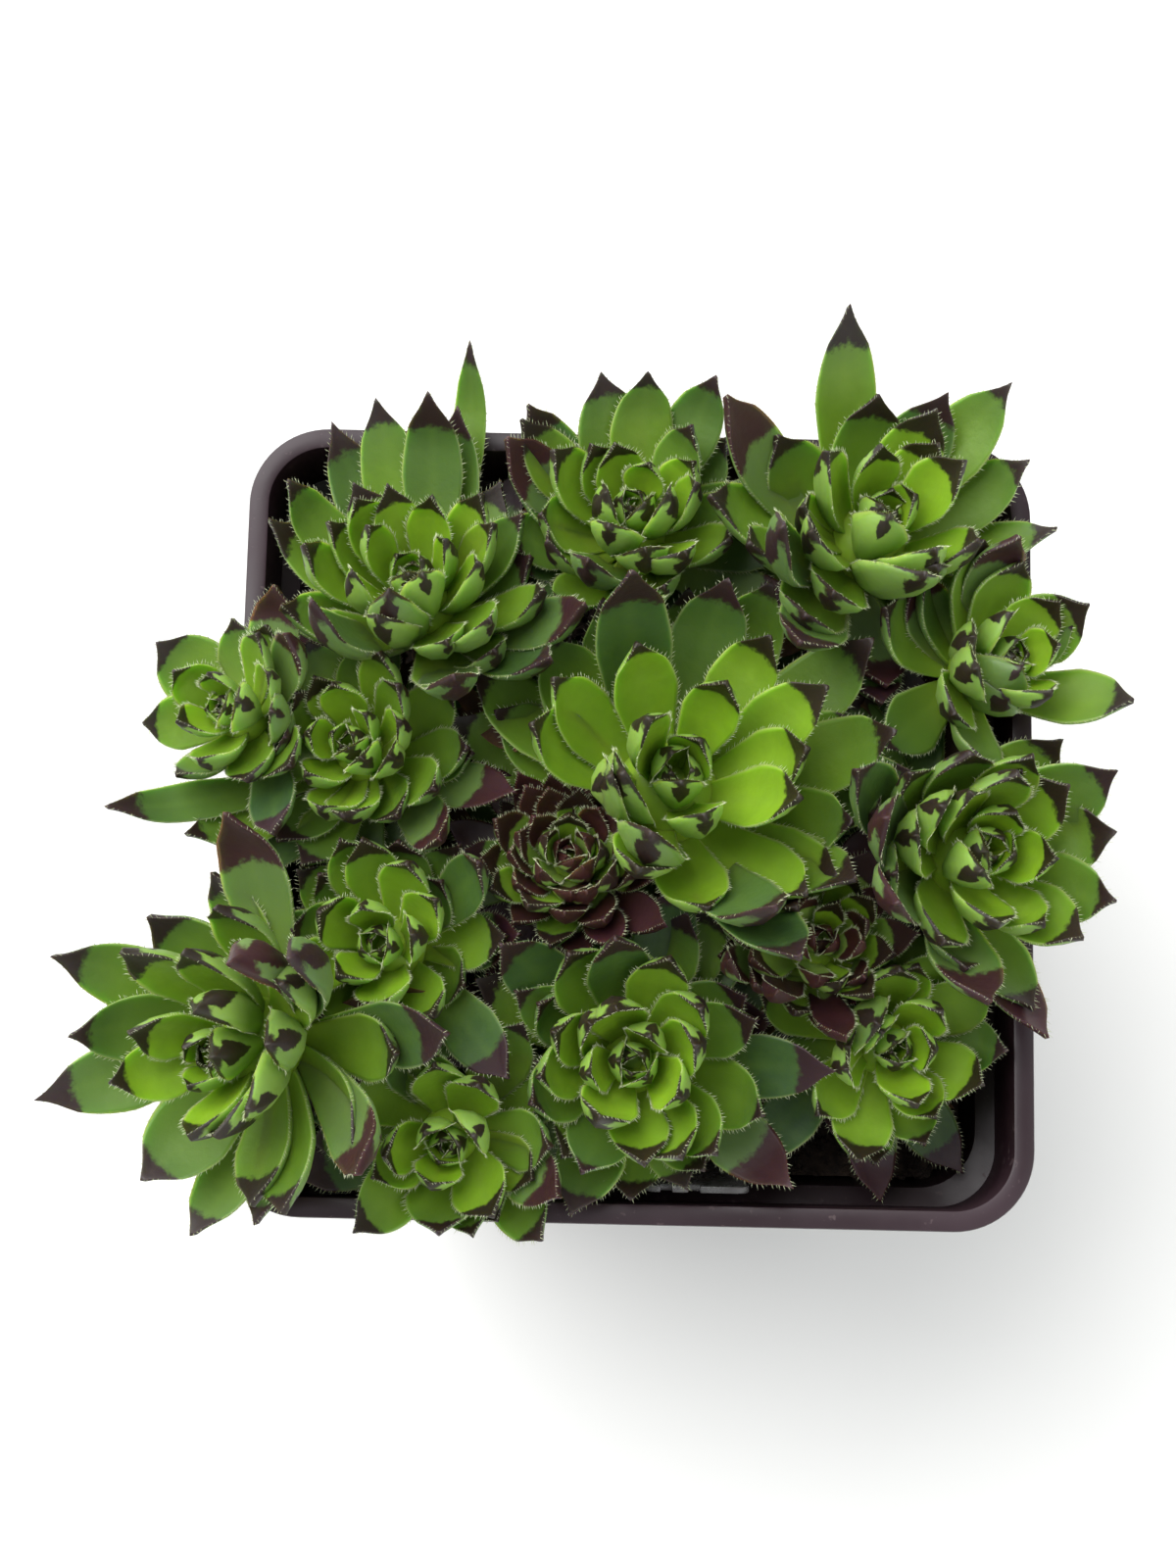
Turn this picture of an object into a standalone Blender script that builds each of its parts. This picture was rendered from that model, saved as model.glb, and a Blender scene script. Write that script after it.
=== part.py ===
"""A potted houseleek: a square nursery pot of soil, crowded with leaf rosettes on short stems.

Lengths in the tables are millimetres and are turned into metres where a shape is made.
The origin is on the surface that the pot stands on, under the middle of the pot.
+X is to the right, +Y away from the front and +Z up.
"""
from math import cos, pi, radians, sin
from typing import NamedTuple
import random

import bmesh
import bpy
import numpy as np
from mathutils import Vector
from mathutils.bvhtree import BVHTree

MM = 0.001
COLLECTION_NAME = "potted_houseleek"

# Pot: a thin square nursery pot, 90 mm across its rim
POT_HEIGHT = 80.0
RIM_HALF = 45.0
RIM_RADIUS = 9.0
RIM_WIDTH = 2.3
RIM_DEPTH = 2.4
WALL = 1.2
LIP_EDGE = 0.3
LIP_SLOPE = 0.4
COLLAR_OUT = 1.1
COLLAR_SLOPE = 0.3
LEDGE_BELOW_RIM = 12.0
LEDGE_WIDTH = 2.4
LEDGE_RISE = 0.8
LEDGE_SLOPE = 0.4
BASE_HALF = 32.0
BASE_RADIUS = 7.0
TOP_RADIUS = 8.0
FLOOR = 1.6
CORNER_STEPS = 5
DRAIN_RADIUS = 3.5
DRAIN_RING = 20.0
DRAIN_COUNT = 6
DRAIN_SIDES = 8

# Soil and the gap that every pair of touching solids keeps
SOIL_TOP = 62.0
GAP = 0.3

# Clear label standing in the soil against the front wall
LABEL_MIDDLE_X = 7.8
LABEL_WIDTH = 11.7
LABEL_THICKNESS = 0.8
LABEL_FOOT = (-36.8, 53.0)
LABEL_TOP = (-41.0, 78.6)
LABEL_NOTCH = 1.3
LABEL_NOTCHES_X = (4.4, 7.5)

# Stem and core: the shares are of the head's reach
STEM_SIDES = 6
STEM_DEPTH = 9.0
STEM_SHARE = 0.11
LEAST_STEM = 1.3
BUD_SHARE = 0.4
CORE_SHARE = 0.24
CORE_STRETCH = 1.25
CORE_SIDES = 8
CORE_RINGS = 5

# Leaf outline, as shares of the leaf's length and half width
WIDEST_AT = 0.64
SHOULDER_POWER = 0.55
TIP_POWER = 0.75
LEAF_RINGS = 3

# Leaf section: how fleshy it is, and how far its margins stand up, as a share of its half width
FLESH = 2.3
FLESH_A_LENGTH = 0.13
FLESH_AT_LEAST = 0.3
FOOT_FLESH = 0.35
FLESH_START = 0.18
FLESH_ABOVE = 0.1
YOUNG_CUP = 0.42
CUP_LOST = 0.2

# Spiral: each leaf turns by the golden angle, and grows longer and leans out as it ages
GOLDEN_ANGLE = 137.508
TURN_DRAW = 6
BUD_PITCH = 16
PITCH_DRAW = 4
YOUNG_LENGTH = 0.6
FULL_AGE = 0.6
LENGTH_POWER = 0.9
LENGTH_DRAW = (0.93, 1.05)
WIDTH_POWER = 0.7
WIDTH_DRAW = (0.93, 1.07)
FOOT_RISE = 0.1
FOOT_FALL = 0.3
FOOT_OUT = 0.06

# Clearances that bent leaves keep
LEAF_MARGIN = 0.3
RIM_MARGIN = 0.5
SOIL_MARGIN = 0.5
EDGE_SHARES = (0, 0.2, 0.4)

# Ways to bend a leaf clear: more or less pitch, a turn sideways and a shorter leaf
PITCH_BENDS = (0, -6, 6, -12, 12, -18, -24, -32, -40)
SIDE_BENDS = (0, -7, 7, -14, 14)
LENGTH_SHARES = (1.0, 0.93, 0.86, 0.78, 0.7, 0.6, 0.5)
PITCH_COST = 12
SIDE_COST = 10
LENGTH_COST = 0.1
LEAST_PITCH = 8
YOUNG_AGE = 0.45
SMALL_REACH = 15.5
STRAY_TURN = 15
STRAY_PITCH = 24


class Head(NamedTuple):
    """One rosette: where its bud is, how it leans and how its leaves spread."""
    name: str
    bud: tuple
    lean: float
    tilt: float
    reach: float
    width: float
    leaves: int
    spread: float
    stem_foot: tuple
    turn: float
    curl: float = 34.0
    closed: float = 1.2
    strays: tuple = ()


# Leans are compass angles from +X towards +Y; a stray is (compass, pitch, length, share of width)
# The higher the closed value, the longer a head's leaves stay upright as they age
HEADS = (
    Head("head_back_left", (-25.1, 25.4, 92), 105, 22, 19, 7.0, 19, 74, (-25, 22), 20,
         strays=((84, 47, 27, 1.0), (104, 50, 26, 1.0), (74, 60, 33, 0.65), (156, 59, 21, 1.0),
                 (145, 52, 23, 0.9), (178, 77, 16, 1.0), (16, 56, 15, 1.0), (76, 56, 25, 1.0))),
    Head("head_back_middle", (-1.0, 33.9, 90), 92, 16, 16, 7.2, 15, 74, (-1, 29), 60,
         strays=((103, 55, 20, 1.1), (86, 61, 20, 1.0), (61, 64, 22, 1.0), (6, 54, 15, 1.0),
                 (145, 48, 20, 0.95), (50, 38, 17, 1.0), (167, 59, 15, 0.9))),
    Head("head_back_right", (27.0, 33.4, 92), 50, 20, 21, 8.6, 16, 82, (25, 28), 110,
         strays=((103, 62, 29, 0.9), (52, 54, 27, 0.95), (27, 53, 23, 0.9), (1, 58, 23, 0.8),
                 (328, 64, 19, 0.8), (94, 40, 20, 1.0), (145, 50, 18, 1.0), (67, 45, 22, 1.0))),
    Head("head_left", (-31.6, 6.7, 90), 150, 14, 15, 6.4, 14, 72, (-27, 7), 40,
         strays=((198, 73, 31, 0.8), (211, 79, 23, 1.0), (136, 28, 14, 1.0), (135, 58, 19, 0.9),
                 (1, 76, 13, 1.0), (33, 70, 13, 1.0))),
    Head("head_left_outer", (-45.5, 9.8, 91), 172, 26, 12, 6.4, 10, 76, (-34, 12), 80,
         strays=((135, 56, 14, 1.25),)),
    Head("head_centre", (4.4, 3.1, 97), 55, 9, 26, 8.8, 22, 86, (4, 1), 150, closed=0.8,
         strays=((158, 65, 21, 1.0), (135, 61, 23, 1.0), (112, 64, 24, 1.0), (78, 58, 27, 1.0),
                 (63, 67, 28, 1.0), (36, 65, 30, 1.0), (15, 57, 29, 1.0), (4, 71, 29, 1.0),
                 (345, 60, 24, 1.0), (281, 55, 11, 1.0))),
    Head("head_right_outer", (41.4, 18.0, 89), 12, 30, 15, 7.6, 10, 78, (34, 17), 10,
         strays=((42, 37, 17, 1.1), (335, 47, 20, 1.0), (260, 26, 11, 1.0), (243, 6, 13, 1.0),
                 (225, 92, 14, 1.0))),
    Head("head_right", (38.2, -3.9, 92), 0, 20, 19, 8.2, 15, 80, (32, -4), 75,
         strays=((31, 56, 22, 1.1), (340, 60, 21, 1.0), (67, 41, 16, 1.0), (294, 76, 20, 1.0),
                 (117, 58, 12, 1.0))),
    Head("head_small_centre", (-7.2, -5.2, 89.5), 100, 10, 12.5, 4.8, 24, 66, (-8, -7), 30),
    Head("head_front_left", (-27.6, -15.6, 90.5), 190, 10, 16, 6.8, 13, 72, (-25, -15), 95,
         strays=((80, 55, 14, 1.0), (169, 41, 14, 1.1), (217, 50, 14, 1.1), (262, 56, 14, 1.1),
                 (332, 61, 11, 1.0), (47, 49, 12, 1.0), (132, 51, 13, 1.0))),
    Head("head_front_left_outer", (-44.5, -28.3, 95), 205, 34, 21, 8.0, 15, 80, (-33, -25), 15,
         strays=((197, 50, 27, 1.0), (158, 55, 26, 1.0), (172, 42, 23, 1.0), (127, 60, 19, 1.0),
                 (111, 79, 19, 1.0), (100, 92, 15, 1.0), (261, 65, 23, 1.0), (275, 72, 20, 1.0),
                 (237, 50, 21, 1.2))),
    Head("head_front", (0.1, -27.8, 91), 262, 8, 18, 7.6, 17, 76, (0, -25), 55,
         strays=((94, 52, 15, 1.05), (149, 58, 15, 1.0), (171, 68, 19, 1.0), (204, 55, 17, 1.0),
                 (250, 48, 16, 1.05), (342, 59, 18, 1.0), (307, 59, 16, 1.0), (61, 77, 19, 1.0),
                 (33, 69, 15, 1.0), (248, 74, 19, 1.0), (271, 72, 16, 1.0))),
    Head("head_front_outer", (-19.6, -37.0, 88), 255, 16, 14, 7.2, 11, 78, (-18, -31), 125,
         strays=((225, 65, 17, 1.0), (265, 61, 14, 1.2), (304, 64, 12, 1.0), (318, 71, 17, 1.0),
                 (184, 73, 16, 0.9))),
    Head("head_small_right", (20.4, -13.6, 88), 60, 10, 13, 4.8, 16, 74, (20, -15), 70,
         strays=((286, 112, 22, 0.9), (205, 65, 12, 1.0))),
    Head("head_front_right", (29.1, -25.3, 85), 320, 16, 15, 6.8, 12, 78, (27, -24), 5,
         strays=((0, 51, 16, 1.0), (292, 54, 14, 1.0), (58, 55, 15, 1.0), (248, 91, 11, 1.0))),
)


def srgb(red, green, blue):
    """Turn 0-255 screen values into the linear colour that a shader takes."""
    return tuple(((value / 255 + 0.055) / 1.055) ** 2.4 for value in (red, green, blue)) + (1.0,)


def make_material(name, color, roughness, metallic=0.0):
    """Principled material of one plain colour."""
    material = bpy.data.materials.new(name)
    material.use_nodes = True
    shader = material.node_tree.nodes["Principled BSDF"]
    shader.inputs["Base Color"].default_value = color
    shader.inputs["Roughness"].default_value = roughness
    shader.inputs["Metallic"].default_value = metallic
    return material


def new_object(name, bm, collection, material=None):
    """Make a mesh object from a bmesh, which is freed."""
    mesh = bpy.data.meshes.new(name)
    bm.to_mesh(mesh)
    bm.free()
    obj = bpy.data.objects.new(name, mesh)
    collection.objects.link(obj)
    if material:
        mesh.materials.append(material)
    return obj


def new_collection(name):
    """Add a collection to the scene."""
    collection = bpy.data.collections.new(name)
    bpy.context.scene.collection.children.link(collection)
    return collection


def remove_collection(collection):
    """Remove a collection with the objects and meshes in it."""
    for obj in list(collection.objects):
        mesh = obj.data
        bpy.data.objects.remove(obj)
        bpy.data.meshes.remove(mesh)
    bpy.data.collections.remove(collection)


def largest_body(obj):
    """Keep a mesh's largest connected body: loose scraps and sealed hollows go."""
    bm = bmesh.new()
    bm.from_mesh(obj.data)
    bm.verts.ensure_lookup_table()
    unseen = set(bm.verts)
    bodies = []
    while unseen:
        body = set()
        front = [unseen.pop()]
        while front:
            vert = front.pop()
            body.add(vert)
            for edge in vert.link_edges:
                other = edge.other_vert(vert)
                if other in unseen:
                    unseen.discard(other)
                    front.append(other)
        bodies.append(body)
    bodies.sort(key=len, reverse=True)
    for body in bodies[1:]:
        bmesh.ops.delete(bm, geom=list(body), context="VERTS")
    bm.to_mesh(obj.data)
    bm.free()


def join_collection(obj, collection, operation):
    """Apply one Boolean of a whole collection to an object, then remove the collection."""
    modifier = obj.modifiers.new("join", "BOOLEAN")
    modifier.operation = operation
    modifier.operand_type = "COLLECTION"
    modifier.collection = collection
    modifier.solver = "MANIFOLD"
    graph = bpy.context.evaluated_depsgraph_get()
    old_mesh = obj.data
    obj.data = bpy.data.meshes.new_from_object(obj.evaluated_get(graph))
    obj.modifiers.remove(modifier)
    bpy.data.meshes.remove(old_mesh)
    remove_collection(collection)


# Pot

def rounded_square(half, radius):
    """Points round a square with rounded corners, anticlockwise."""
    points = []
    for corner in range(4):
        turn = corner * pi / 2
        for step in range(CORNER_STEPS + 1):
            angle = turn + step / CORNER_STEPS * pi / 2
            centre_x = (half - radius) * (1 if corner in (0, 3) else -1)
            centre_y = (half - radius) * (1 if corner in (0, 1) else -1)
            points.append((centre_x + radius * cos(angle), centre_y + radius * sin(angle)))
    return points


def loft(levels):
    """Closed solid through rounded squares, each given as (half width, radius, height)."""
    bm = bmesh.new()
    loops = []
    for half, radius, height in levels:
        ring = []
        for x, y in rounded_square(half, radius):
            ring.append(bm.verts.new((x * MM, y * MM, height * MM)))
        edges = [bm.edges.new((ring[i - 1], ring[i])) for i in range(len(ring))]
        loops.append(edges)
    for lower, upper in zip(loops, loops[1:]):
        bmesh.ops.bridge_loops(bm, edges=lower + upper)
    bmesh.ops.contextual_create(bm, geom=loops[0])
    bmesh.ops.contextual_create(bm, geom=loops[-1])
    bmesh.ops.recalc_face_normals(bm, faces=bm.faces)
    return bm


def wall_half(height):
    """Outer half width of the tapered wall at a height."""
    ledge_height = POT_HEIGHT - LEDGE_BELOW_RIM
    top_half = RIM_HALF - COLLAR_OUT - LEDGE_WIDTH
    return BASE_HALF + (top_half - BASE_HALF) * height / ledge_height


def wall_radius(height):
    """Corner radius of the tapered wall at a height."""
    return BASE_RADIUS + (TOP_RADIUS - BASE_RADIUS) * height / POT_HEIGHT


def make_pot(collection):
    """Thin wall, a ledge below the rim, a wider collar, the flat lip and the drain holes."""
    ledge = POT_HEIGHT - LEDGE_BELOW_RIM
    collar_half = RIM_HALF - COLLAR_OUT
    collar_radius = RIM_RADIUS - COLLAR_OUT
    inner_half = RIM_HALF - RIM_WIDTH
    inner_radius = RIM_RADIUS - RIM_WIDTH
    levels = (
        (BASE_HALF, BASE_RADIUS, 0.0),
        (wall_half(ledge), wall_radius(ledge), ledge - WALL),
        (collar_half - COLLAR_SLOPE, collar_radius, ledge - WALL + LEDGE_RISE),
        (collar_half, collar_radius, POT_HEIGHT - RIM_DEPTH),
        (RIM_HALF, RIM_RADIUS, POT_HEIGHT - RIM_DEPTH + LIP_SLOPE),
        (RIM_HALF, RIM_RADIUS, POT_HEIGHT - LIP_EDGE),
        (RIM_HALF - LIP_EDGE, RIM_RADIUS - LIP_EDGE, POT_HEIGHT),
        (inner_half, inner_radius, POT_HEIGHT),
        (collar_half - COLLAR_SLOPE - WALL, collar_radius - WALL, ledge),
        (wall_half(ledge) - WALL, wall_radius(ledge) - WALL, ledge - LEDGE_SLOPE),
        (wall_half(FLOOR) - WALL, wall_radius(FLOOR) - WALL, FLOOR),
    )
    material = make_material("pot_plastic", srgb(72, 52, 58), 0.38)
    pot = new_object("pot", loft(levels), collection, material)
    cutters = new_collection("drain_cutters")
    for index in range(DRAIN_COUNT):
        angle = (index + 0.5) / DRAIN_COUNT * 2 * pi
        bm = bmesh.new()
        bmesh.ops.create_cone(bm, cap_ends=True, segments=DRAIN_SIDES, radius1=DRAIN_RADIUS * MM,
                              radius2=DRAIN_RADIUS * MM, depth=4 * FLOOR * MM)
        centre = Vector((cos(angle) * DRAIN_RING, sin(angle) * DRAIN_RING, FLOOR / 2))
        bmesh.ops.translate(bm, verts=bm.verts, vec=centre * MM)
        new_object("drain_cutter", bm, cutters)
    join_collection(pot, cutters, "DIFFERENCE")
    return pot


# Leaves

def unit(vector):
    """Vector of length one."""
    return vector / np.linalg.norm(vector)


def head_axis(head):
    """Direction that a head's middle points in."""
    lean = radians(head.lean)
    tilt = radians(head.tilt)
    return np.array((sin(tilt) * cos(lean), sin(tilt) * sin(lean), cos(tilt)))


def head_crown(head):
    """Point on the axis that the leaves grow from."""
    return np.array(head.bud) - head_axis(head) * head.reach * BUD_SHARE


def outline(u):
    """Share of a leaf's half width along it: widest past the middle, then a blunt point."""
    shoulder = (np.minimum(u, WIDEST_AT) / WIDEST_AT) ** SHOULDER_POWER
    past = np.clip((u - WIDEST_AT) / (1 - WIDEST_AT), 0, 1)
    return shoulder * (1 - past ** 2) ** TIP_POWER


def thickness(length, u):
    """Thickness along a leaf of some length: fleshiest near its middle, thin at the point."""
    most = min(FLESH, FLESH_A_LENGTH * length + FLESH_AT_LEAST)
    return most * (FOOT_FLESH + (1 - FOOT_FLESH) * np.sin(pi * (FLESH_START + (1 - FLESH_START) * u)))


class Leaf(NamedTuple):
    """One leaf of a head: its age is 0 in the bud and 1 at the outside."""
    axis: np.ndarray
    foot: np.ndarray
    compass: float
    pitch: float
    length: float
    width: float
    curl: float
    age: float
    stray: bool = False


def head_sides(axis):
    """Two directions square to a head's axis; the first one is nearest to +X."""
    east = unit(np.array((1.0, 0.0, 0.0)) - axis * axis[0])
    return east, np.cross(axis, east)


def leaf_surface(leaf, side, face, u, margin=0.0):
    """Points of a leaf: side is -1 to 1 across, face 1 above and -1 below, u 0 to 1 along."""
    east, north = head_sides(leaf.axis)
    out = east * cos(leaf.compass) + north * sin(leaf.compass)
    across = np.cross(leaf.axis, out)
    start = leaf.pitch + leaf.curl / 2
    here = start - leaf.curl * u
    run = leaf.length / leaf.curl
    up = run * (sin(start) - np.sin(here))
    away = run * (np.cos(here) - cos(start))
    half = leaf.width / 2 * outline(u)
    thick = thickness(leaf.length, u) + margin
    share = np.where(face > 0, FLESH_ABOVE, 1 - FLESH_ABOVE)
    cup = YOUNG_CUP - CUP_LOST * leaf.age
    lift = half * cup * np.abs(side) + thick * share * face + margin * face
    up = up + lift * np.sin(here)
    away = away - lift * np.cos(here)
    sideways = (half + margin) * side
    return leaf.foot + np.outer(up, leaf.axis) + np.outer(away, out) + np.outer(sideways, across)


def leaf_template():
    """Four sided sphere whose poles become a leaf's foot and tip."""
    bm = bmesh.new()
    bmesh.ops.create_uvsphere(bm, u_segments=4, v_segments=LEAF_RINGS + 1, radius=1.0)
    return bm


def template_places():
    """Side, face and length share of each of the template's points, and its faces."""
    bm = leaf_template()
    points = np.array([tuple(vert.co) for vert in bm.verts])
    faces = [[vert.index for vert in face.verts] for face in bm.faces]
    bm.free()
    share = np.arccos(np.clip(-points[:, 2], -1, 1)) / pi
    along = 0.5 * (share + np.sin(share * pi / 2))
    level = np.maximum(np.hypot(points[:, 0], points[:, 1]), 1e-6)
    side = np.round(points[:, 0] / level)
    face = np.round(points[:, 1] / level)
    pole = (share < 0.01) | (share > 0.99)
    side[pole] = 0
    face[pole] = 0
    return side, face, along, faces


SIDES, FACES, ALONG, POLYGONS = template_places()


def leaf_bmesh(leaf):
    """Closed solid of one leaf."""
    bm = leaf_template()
    for vert, point in zip(bm.verts, leaf_surface(leaf, SIDES, FACES, ALONG)):
        vert.co = Vector(point) * MM
    return bm


# Room: a leaf is bent clear of the other heads, the soil, the wall and the rim

def rim_distance(points):
    """Distance of points outside the rim's outer outline, seen from above."""
    corner = np.abs(points[:, :2]) - (RIM_HALF - RIM_RADIUS)
    outside = np.linalg.norm(np.maximum(corner, 0), axis=1)
    inside = np.minimum(np.max(corner, axis=1), 0)
    return outside + inside - RIM_RADIUS


def clear_of_pot(points):
    """True where a leaf's points, and those between them, are clear of the soil and the pot."""
    starts = np.array([face[i - 1] for face in POLYGONS for i in range(len(face))])
    ends = np.array([face[i] for face in POLYGONS for i in range(len(face))])
    steps = [points[starts] * (1 - step) + points[ends] * step for step in EDGE_SHARES]
    samples = np.concatenate(steps)
    distance = rim_distance(samples)
    over_wall = (distance > -RIM_WIDTH - RIM_MARGIN) & (distance < RIM_MARGIN)
    if np.any(over_wall & (samples[:, 2] < POT_HEIGHT + RIM_MARGIN)):
        return False
    return not np.any((distance < 0) & (samples[:, 2] < SOIL_TOP + SOIL_MARGIN))


def bmesh_tree(bm):
    """Search tree of a bmesh, which is freed."""
    tree = BVHTree.FromBMesh(bm)
    bm.free()
    return tree


def bends():
    """Every way to bend a leaf clear, from the least change to the greatest."""
    ways = []
    for pitch in PITCH_BENDS:
        for side in SIDE_BENDS:
            for share in LENGTH_SHARES:
                cost = abs(pitch) / PITCH_COST + abs(side) / SIDE_COST + (1 - share) / LENGTH_COST
                ways.append((cost, radians(pitch), radians(side), share))
    return sorted(ways)


def bend_clear(leaf, obstacles):
    """The leaf with the least bend that keeps it clear of the obstacles, or None."""
    for _, pitch, side, share in bends():
        if leaf.pitch + pitch < radians(LEAST_PITCH):
            continue
        trial = leaf._replace(pitch=leaf.pitch + pitch, compass=leaf.compass + side,
                              length=leaf.length * share)
        points = leaf_surface(trial, SIDES, FACES, ALONG, LEAF_MARGIN)
        if not clear_of_pot(points):
            continue
        tree = BVHTree.FromPolygons([Vector(point) * MM for point in points], POLYGONS)
        if not any(tree.overlap(obstacle) for obstacle in obstacles):
            return trial
    return None


def beside_stray(head, compass, pitch):
    """True where one of the head's strays already fills a place in its spiral."""
    for stray in head.strays:
        turn = (compass - stray[0] + 180) % 360 - 180
        if abs(turn) < STRAY_TURN and abs(pitch - stray[1]) < STRAY_PITCH:
            return True
    return False


def wanted_leaves(head):
    """The leaves of a head before any is bent: the spiral that they grow in, and the strays."""
    axis = head_axis(head)
    crown = head_crown(head)
    draw = random.Random(head.name)
    east, north = head_sides(axis)
    leaves = []
    for index in range(head.leaves + len(head.strays)):
        age = min(1.0, index / (head.leaves - 1))
        if index < head.leaves:
            compass = head.turn + index * GOLDEN_ANGLE + draw.uniform(-TURN_DRAW, TURN_DRAW)
            pitch = BUD_PITCH + (head.spread - BUD_PITCH) * age ** head.closed
            pitch += draw.uniform(-PITCH_DRAW, PITCH_DRAW)
            grown = YOUNG_LENGTH + (1 - YOUNG_LENGTH) * min(1, age / FULL_AGE) ** LENGTH_POWER
            length = head.reach * grown * draw.uniform(*LENGTH_DRAW)
            width = head.width * (length / head.reach) ** WIDTH_POWER * draw.uniform(*WIDTH_DRAW)
            if age > YOUNG_AGE and beside_stray(head, compass, pitch):
                continue
        else:
            compass, pitch, length, share = head.strays[index - head.leaves]
            width = head.width * share
        compass = radians(compass)
        out = east * cos(compass) + north * sin(compass)
        foot = crown + (axis * (FOOT_RISE - FOOT_FALL * age) + out * FOOT_OUT) * head.reach
        leaves.append(Leaf(axis, foot, compass, radians(pitch), length, width,
                           radians(head.curl), age, index >= head.leaves))
    return leaves


def place_leaves():
    """Leaves of every head: buds first, then the strays, then the rest from young to old."""
    queue = []
    for head in HEADS:
        for index, leaf in enumerate(wanted_leaves(head)):
            stage = 2 - leaf.stray
            if leaf.age < YOUNG_AGE or head.reach < SMALL_REACH:
                stage = 0
            queue.append((stage, leaf.age, head.name, index, leaf))
    queue.sort(key=lambda entry: entry[:4])
    trees = {}
    for head in HEADS:
        trees[head.name] = [bmesh_tree(stem_bmesh(head, GAP)), bmesh_tree(core_bmesh(head))]
    trees["plant_label"] = [bmesh_tree(label_blade(GAP))]
    placed = {head.name: [] for head in HEADS}
    for _, _, name, _, leaf in queue:
        obstacles = [tree for other, group in trees.items() if other != name for tree in group]
        leaf = bend_clear(leaf, obstacles)
        if leaf:
            placed[name].append(leaf)
            trees[name].append(bmesh_tree(leaf_bmesh(leaf)))
    return placed


def core_bmesh(head):
    """Small egg at the crown, which the leaves stand out of."""
    bm = bmesh.new()
    bmesh.ops.create_uvsphere(bm, u_segments=CORE_SIDES, v_segments=CORE_RINGS,
                              radius=head.reach * CORE_SHARE * MM)
    bmesh.ops.scale(bm, verts=bm.verts, vec=(1, 1, CORE_STRETCH))
    turn = Vector((0, 0, 1)).rotation_difference(Vector(head_axis(head))).to_matrix()
    bmesh.ops.rotate(bm, verts=bm.verts, matrix=turn)
    bmesh.ops.translate(bm, verts=bm.verts, vec=Vector(head_crown(head)) * MM)
    return bm


def stem_bmesh(head, extra):
    """Straight stem from the crown into the soil, wider by a margin all round."""
    top = Vector(head_crown(head))
    foot = Vector((*head.stem_foot, SOIL_TOP - STEM_DEPTH - extra))
    radius = max(LEAST_STEM, head.reach * STEM_SHARE) + extra
    bm = bmesh.new()
    bmesh.ops.create_cone(bm, cap_ends=True, segments=STEM_SIDES, radius1=radius * MM,
                          radius2=radius * MM, depth=(top - foot).length * MM)
    turn = Vector((0, 0, 1)).rotation_difference(top - foot).to_matrix()
    bmesh.ops.rotate(bm, verts=bm.verts, matrix=turn)
    bmesh.ops.translate(bm, verts=bm.verts, vec=(top + foot) / 2 * MM)
    return bm


def make_head(head, leaves, collection, material):
    """Rosette of leaves fused with its small core and its stem."""
    parts = new_collection("parts_of_" + head.name)
    for leaf in leaves:
        new_object("leaf", leaf_bmesh(leaf), parts)
    new_object("stem", stem_bmesh(head, 0.0), parts)
    obj = new_object(head.name, core_bmesh(head), collection, material)
    join_collection(obj, parts, "UNION")
    largest_body(obj)
    return obj


# Soil and label

def make_soil(collection):
    """Block of soil that fills the pot, with a plain hole for each stem and the label."""
    side = WALL + GAP
    levels = (
        (wall_half(FLOOR) - side, wall_radius(FLOOR) - side, FLOOR + GAP),
        (wall_half(SOIL_TOP) - side, wall_radius(SOIL_TOP) - side, SOIL_TOP),
    )
    material = make_material("soil_peat", srgb(34, 26, 22), 0.95)
    soil = new_object("soil", loft(levels), collection, material)
    cutters = new_collection("stem_cutters")
    for head in HEADS:
        new_object("stem_cutter", stem_bmesh(head, GAP), cutters)
    new_object("label_cutter", label_blade(GAP), cutters)
    join_collection(soil, cutters, "DIFFERENCE")
    return soil


def label_box(size, centre_x, share, margin):
    """Box in the label's leaning plane, a share of the way from its foot to its top."""
    foot = Vector((0, *LABEL_FOOT))
    top = Vector((0, *LABEL_TOP))
    bm = bmesh.new()
    bmesh.ops.create_cube(bm, size=1.0)
    grown = [(length + 2 * margin) * MM for length in size]
    bmesh.ops.scale(bm, verts=bm.verts, vec=grown)
    turn = Vector((0, 0, 1)).rotation_difference(top - foot).to_matrix()
    bmesh.ops.rotate(bm, verts=bm.verts, matrix=turn)
    centre = foot.lerp(top, share) + Vector((centre_x, 0, 0))
    bmesh.ops.translate(bm, verts=bm.verts, vec=centre * MM)
    return bm


def label_blade(margin):
    """The label's plain blade, wider by a margin all round."""
    height = (Vector(LABEL_TOP) - Vector(LABEL_FOOT)).length
    return label_box((LABEL_WIDTH, LABEL_THICKNESS, height), LABEL_MIDDLE_X, 0.5, margin)


def make_label(collection):
    """Bare clear label with two square notches in its top edge."""
    material = make_material("label_plastic", srgb(196, 196, 194), 0.2)
    label = new_object("plant_label", label_blade(0.0), collection, material)
    cutters = new_collection("notch_cutters")
    for centre_x in LABEL_NOTCHES_X:
        notch = label_box((LABEL_NOTCH, 3 * LABEL_THICKNESS, 2 * LABEL_NOTCH), centre_x, 1.0, 0.0)
        new_object("notch_cutter", notch, cutters)
    join_collection(label, cutters, "DIFFERENCE")
    return label


def clear_scene():
    """Start from an empty scene."""
    for obj in list(bpy.data.objects):
        bpy.data.objects.remove(obj)


def main():
    """Build every piece."""
    clear_scene()
    collection = new_collection(COLLECTION_NAME)
    make_pot(collection)
    make_soil(collection)
    make_label(collection)
    green = make_material("leaf_green", srgb(108, 144, 58), 0.5)
    placed = place_leaves()
    for head in HEADS:
        make_head(head, placed[head.name], collection, green)


main()
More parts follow.
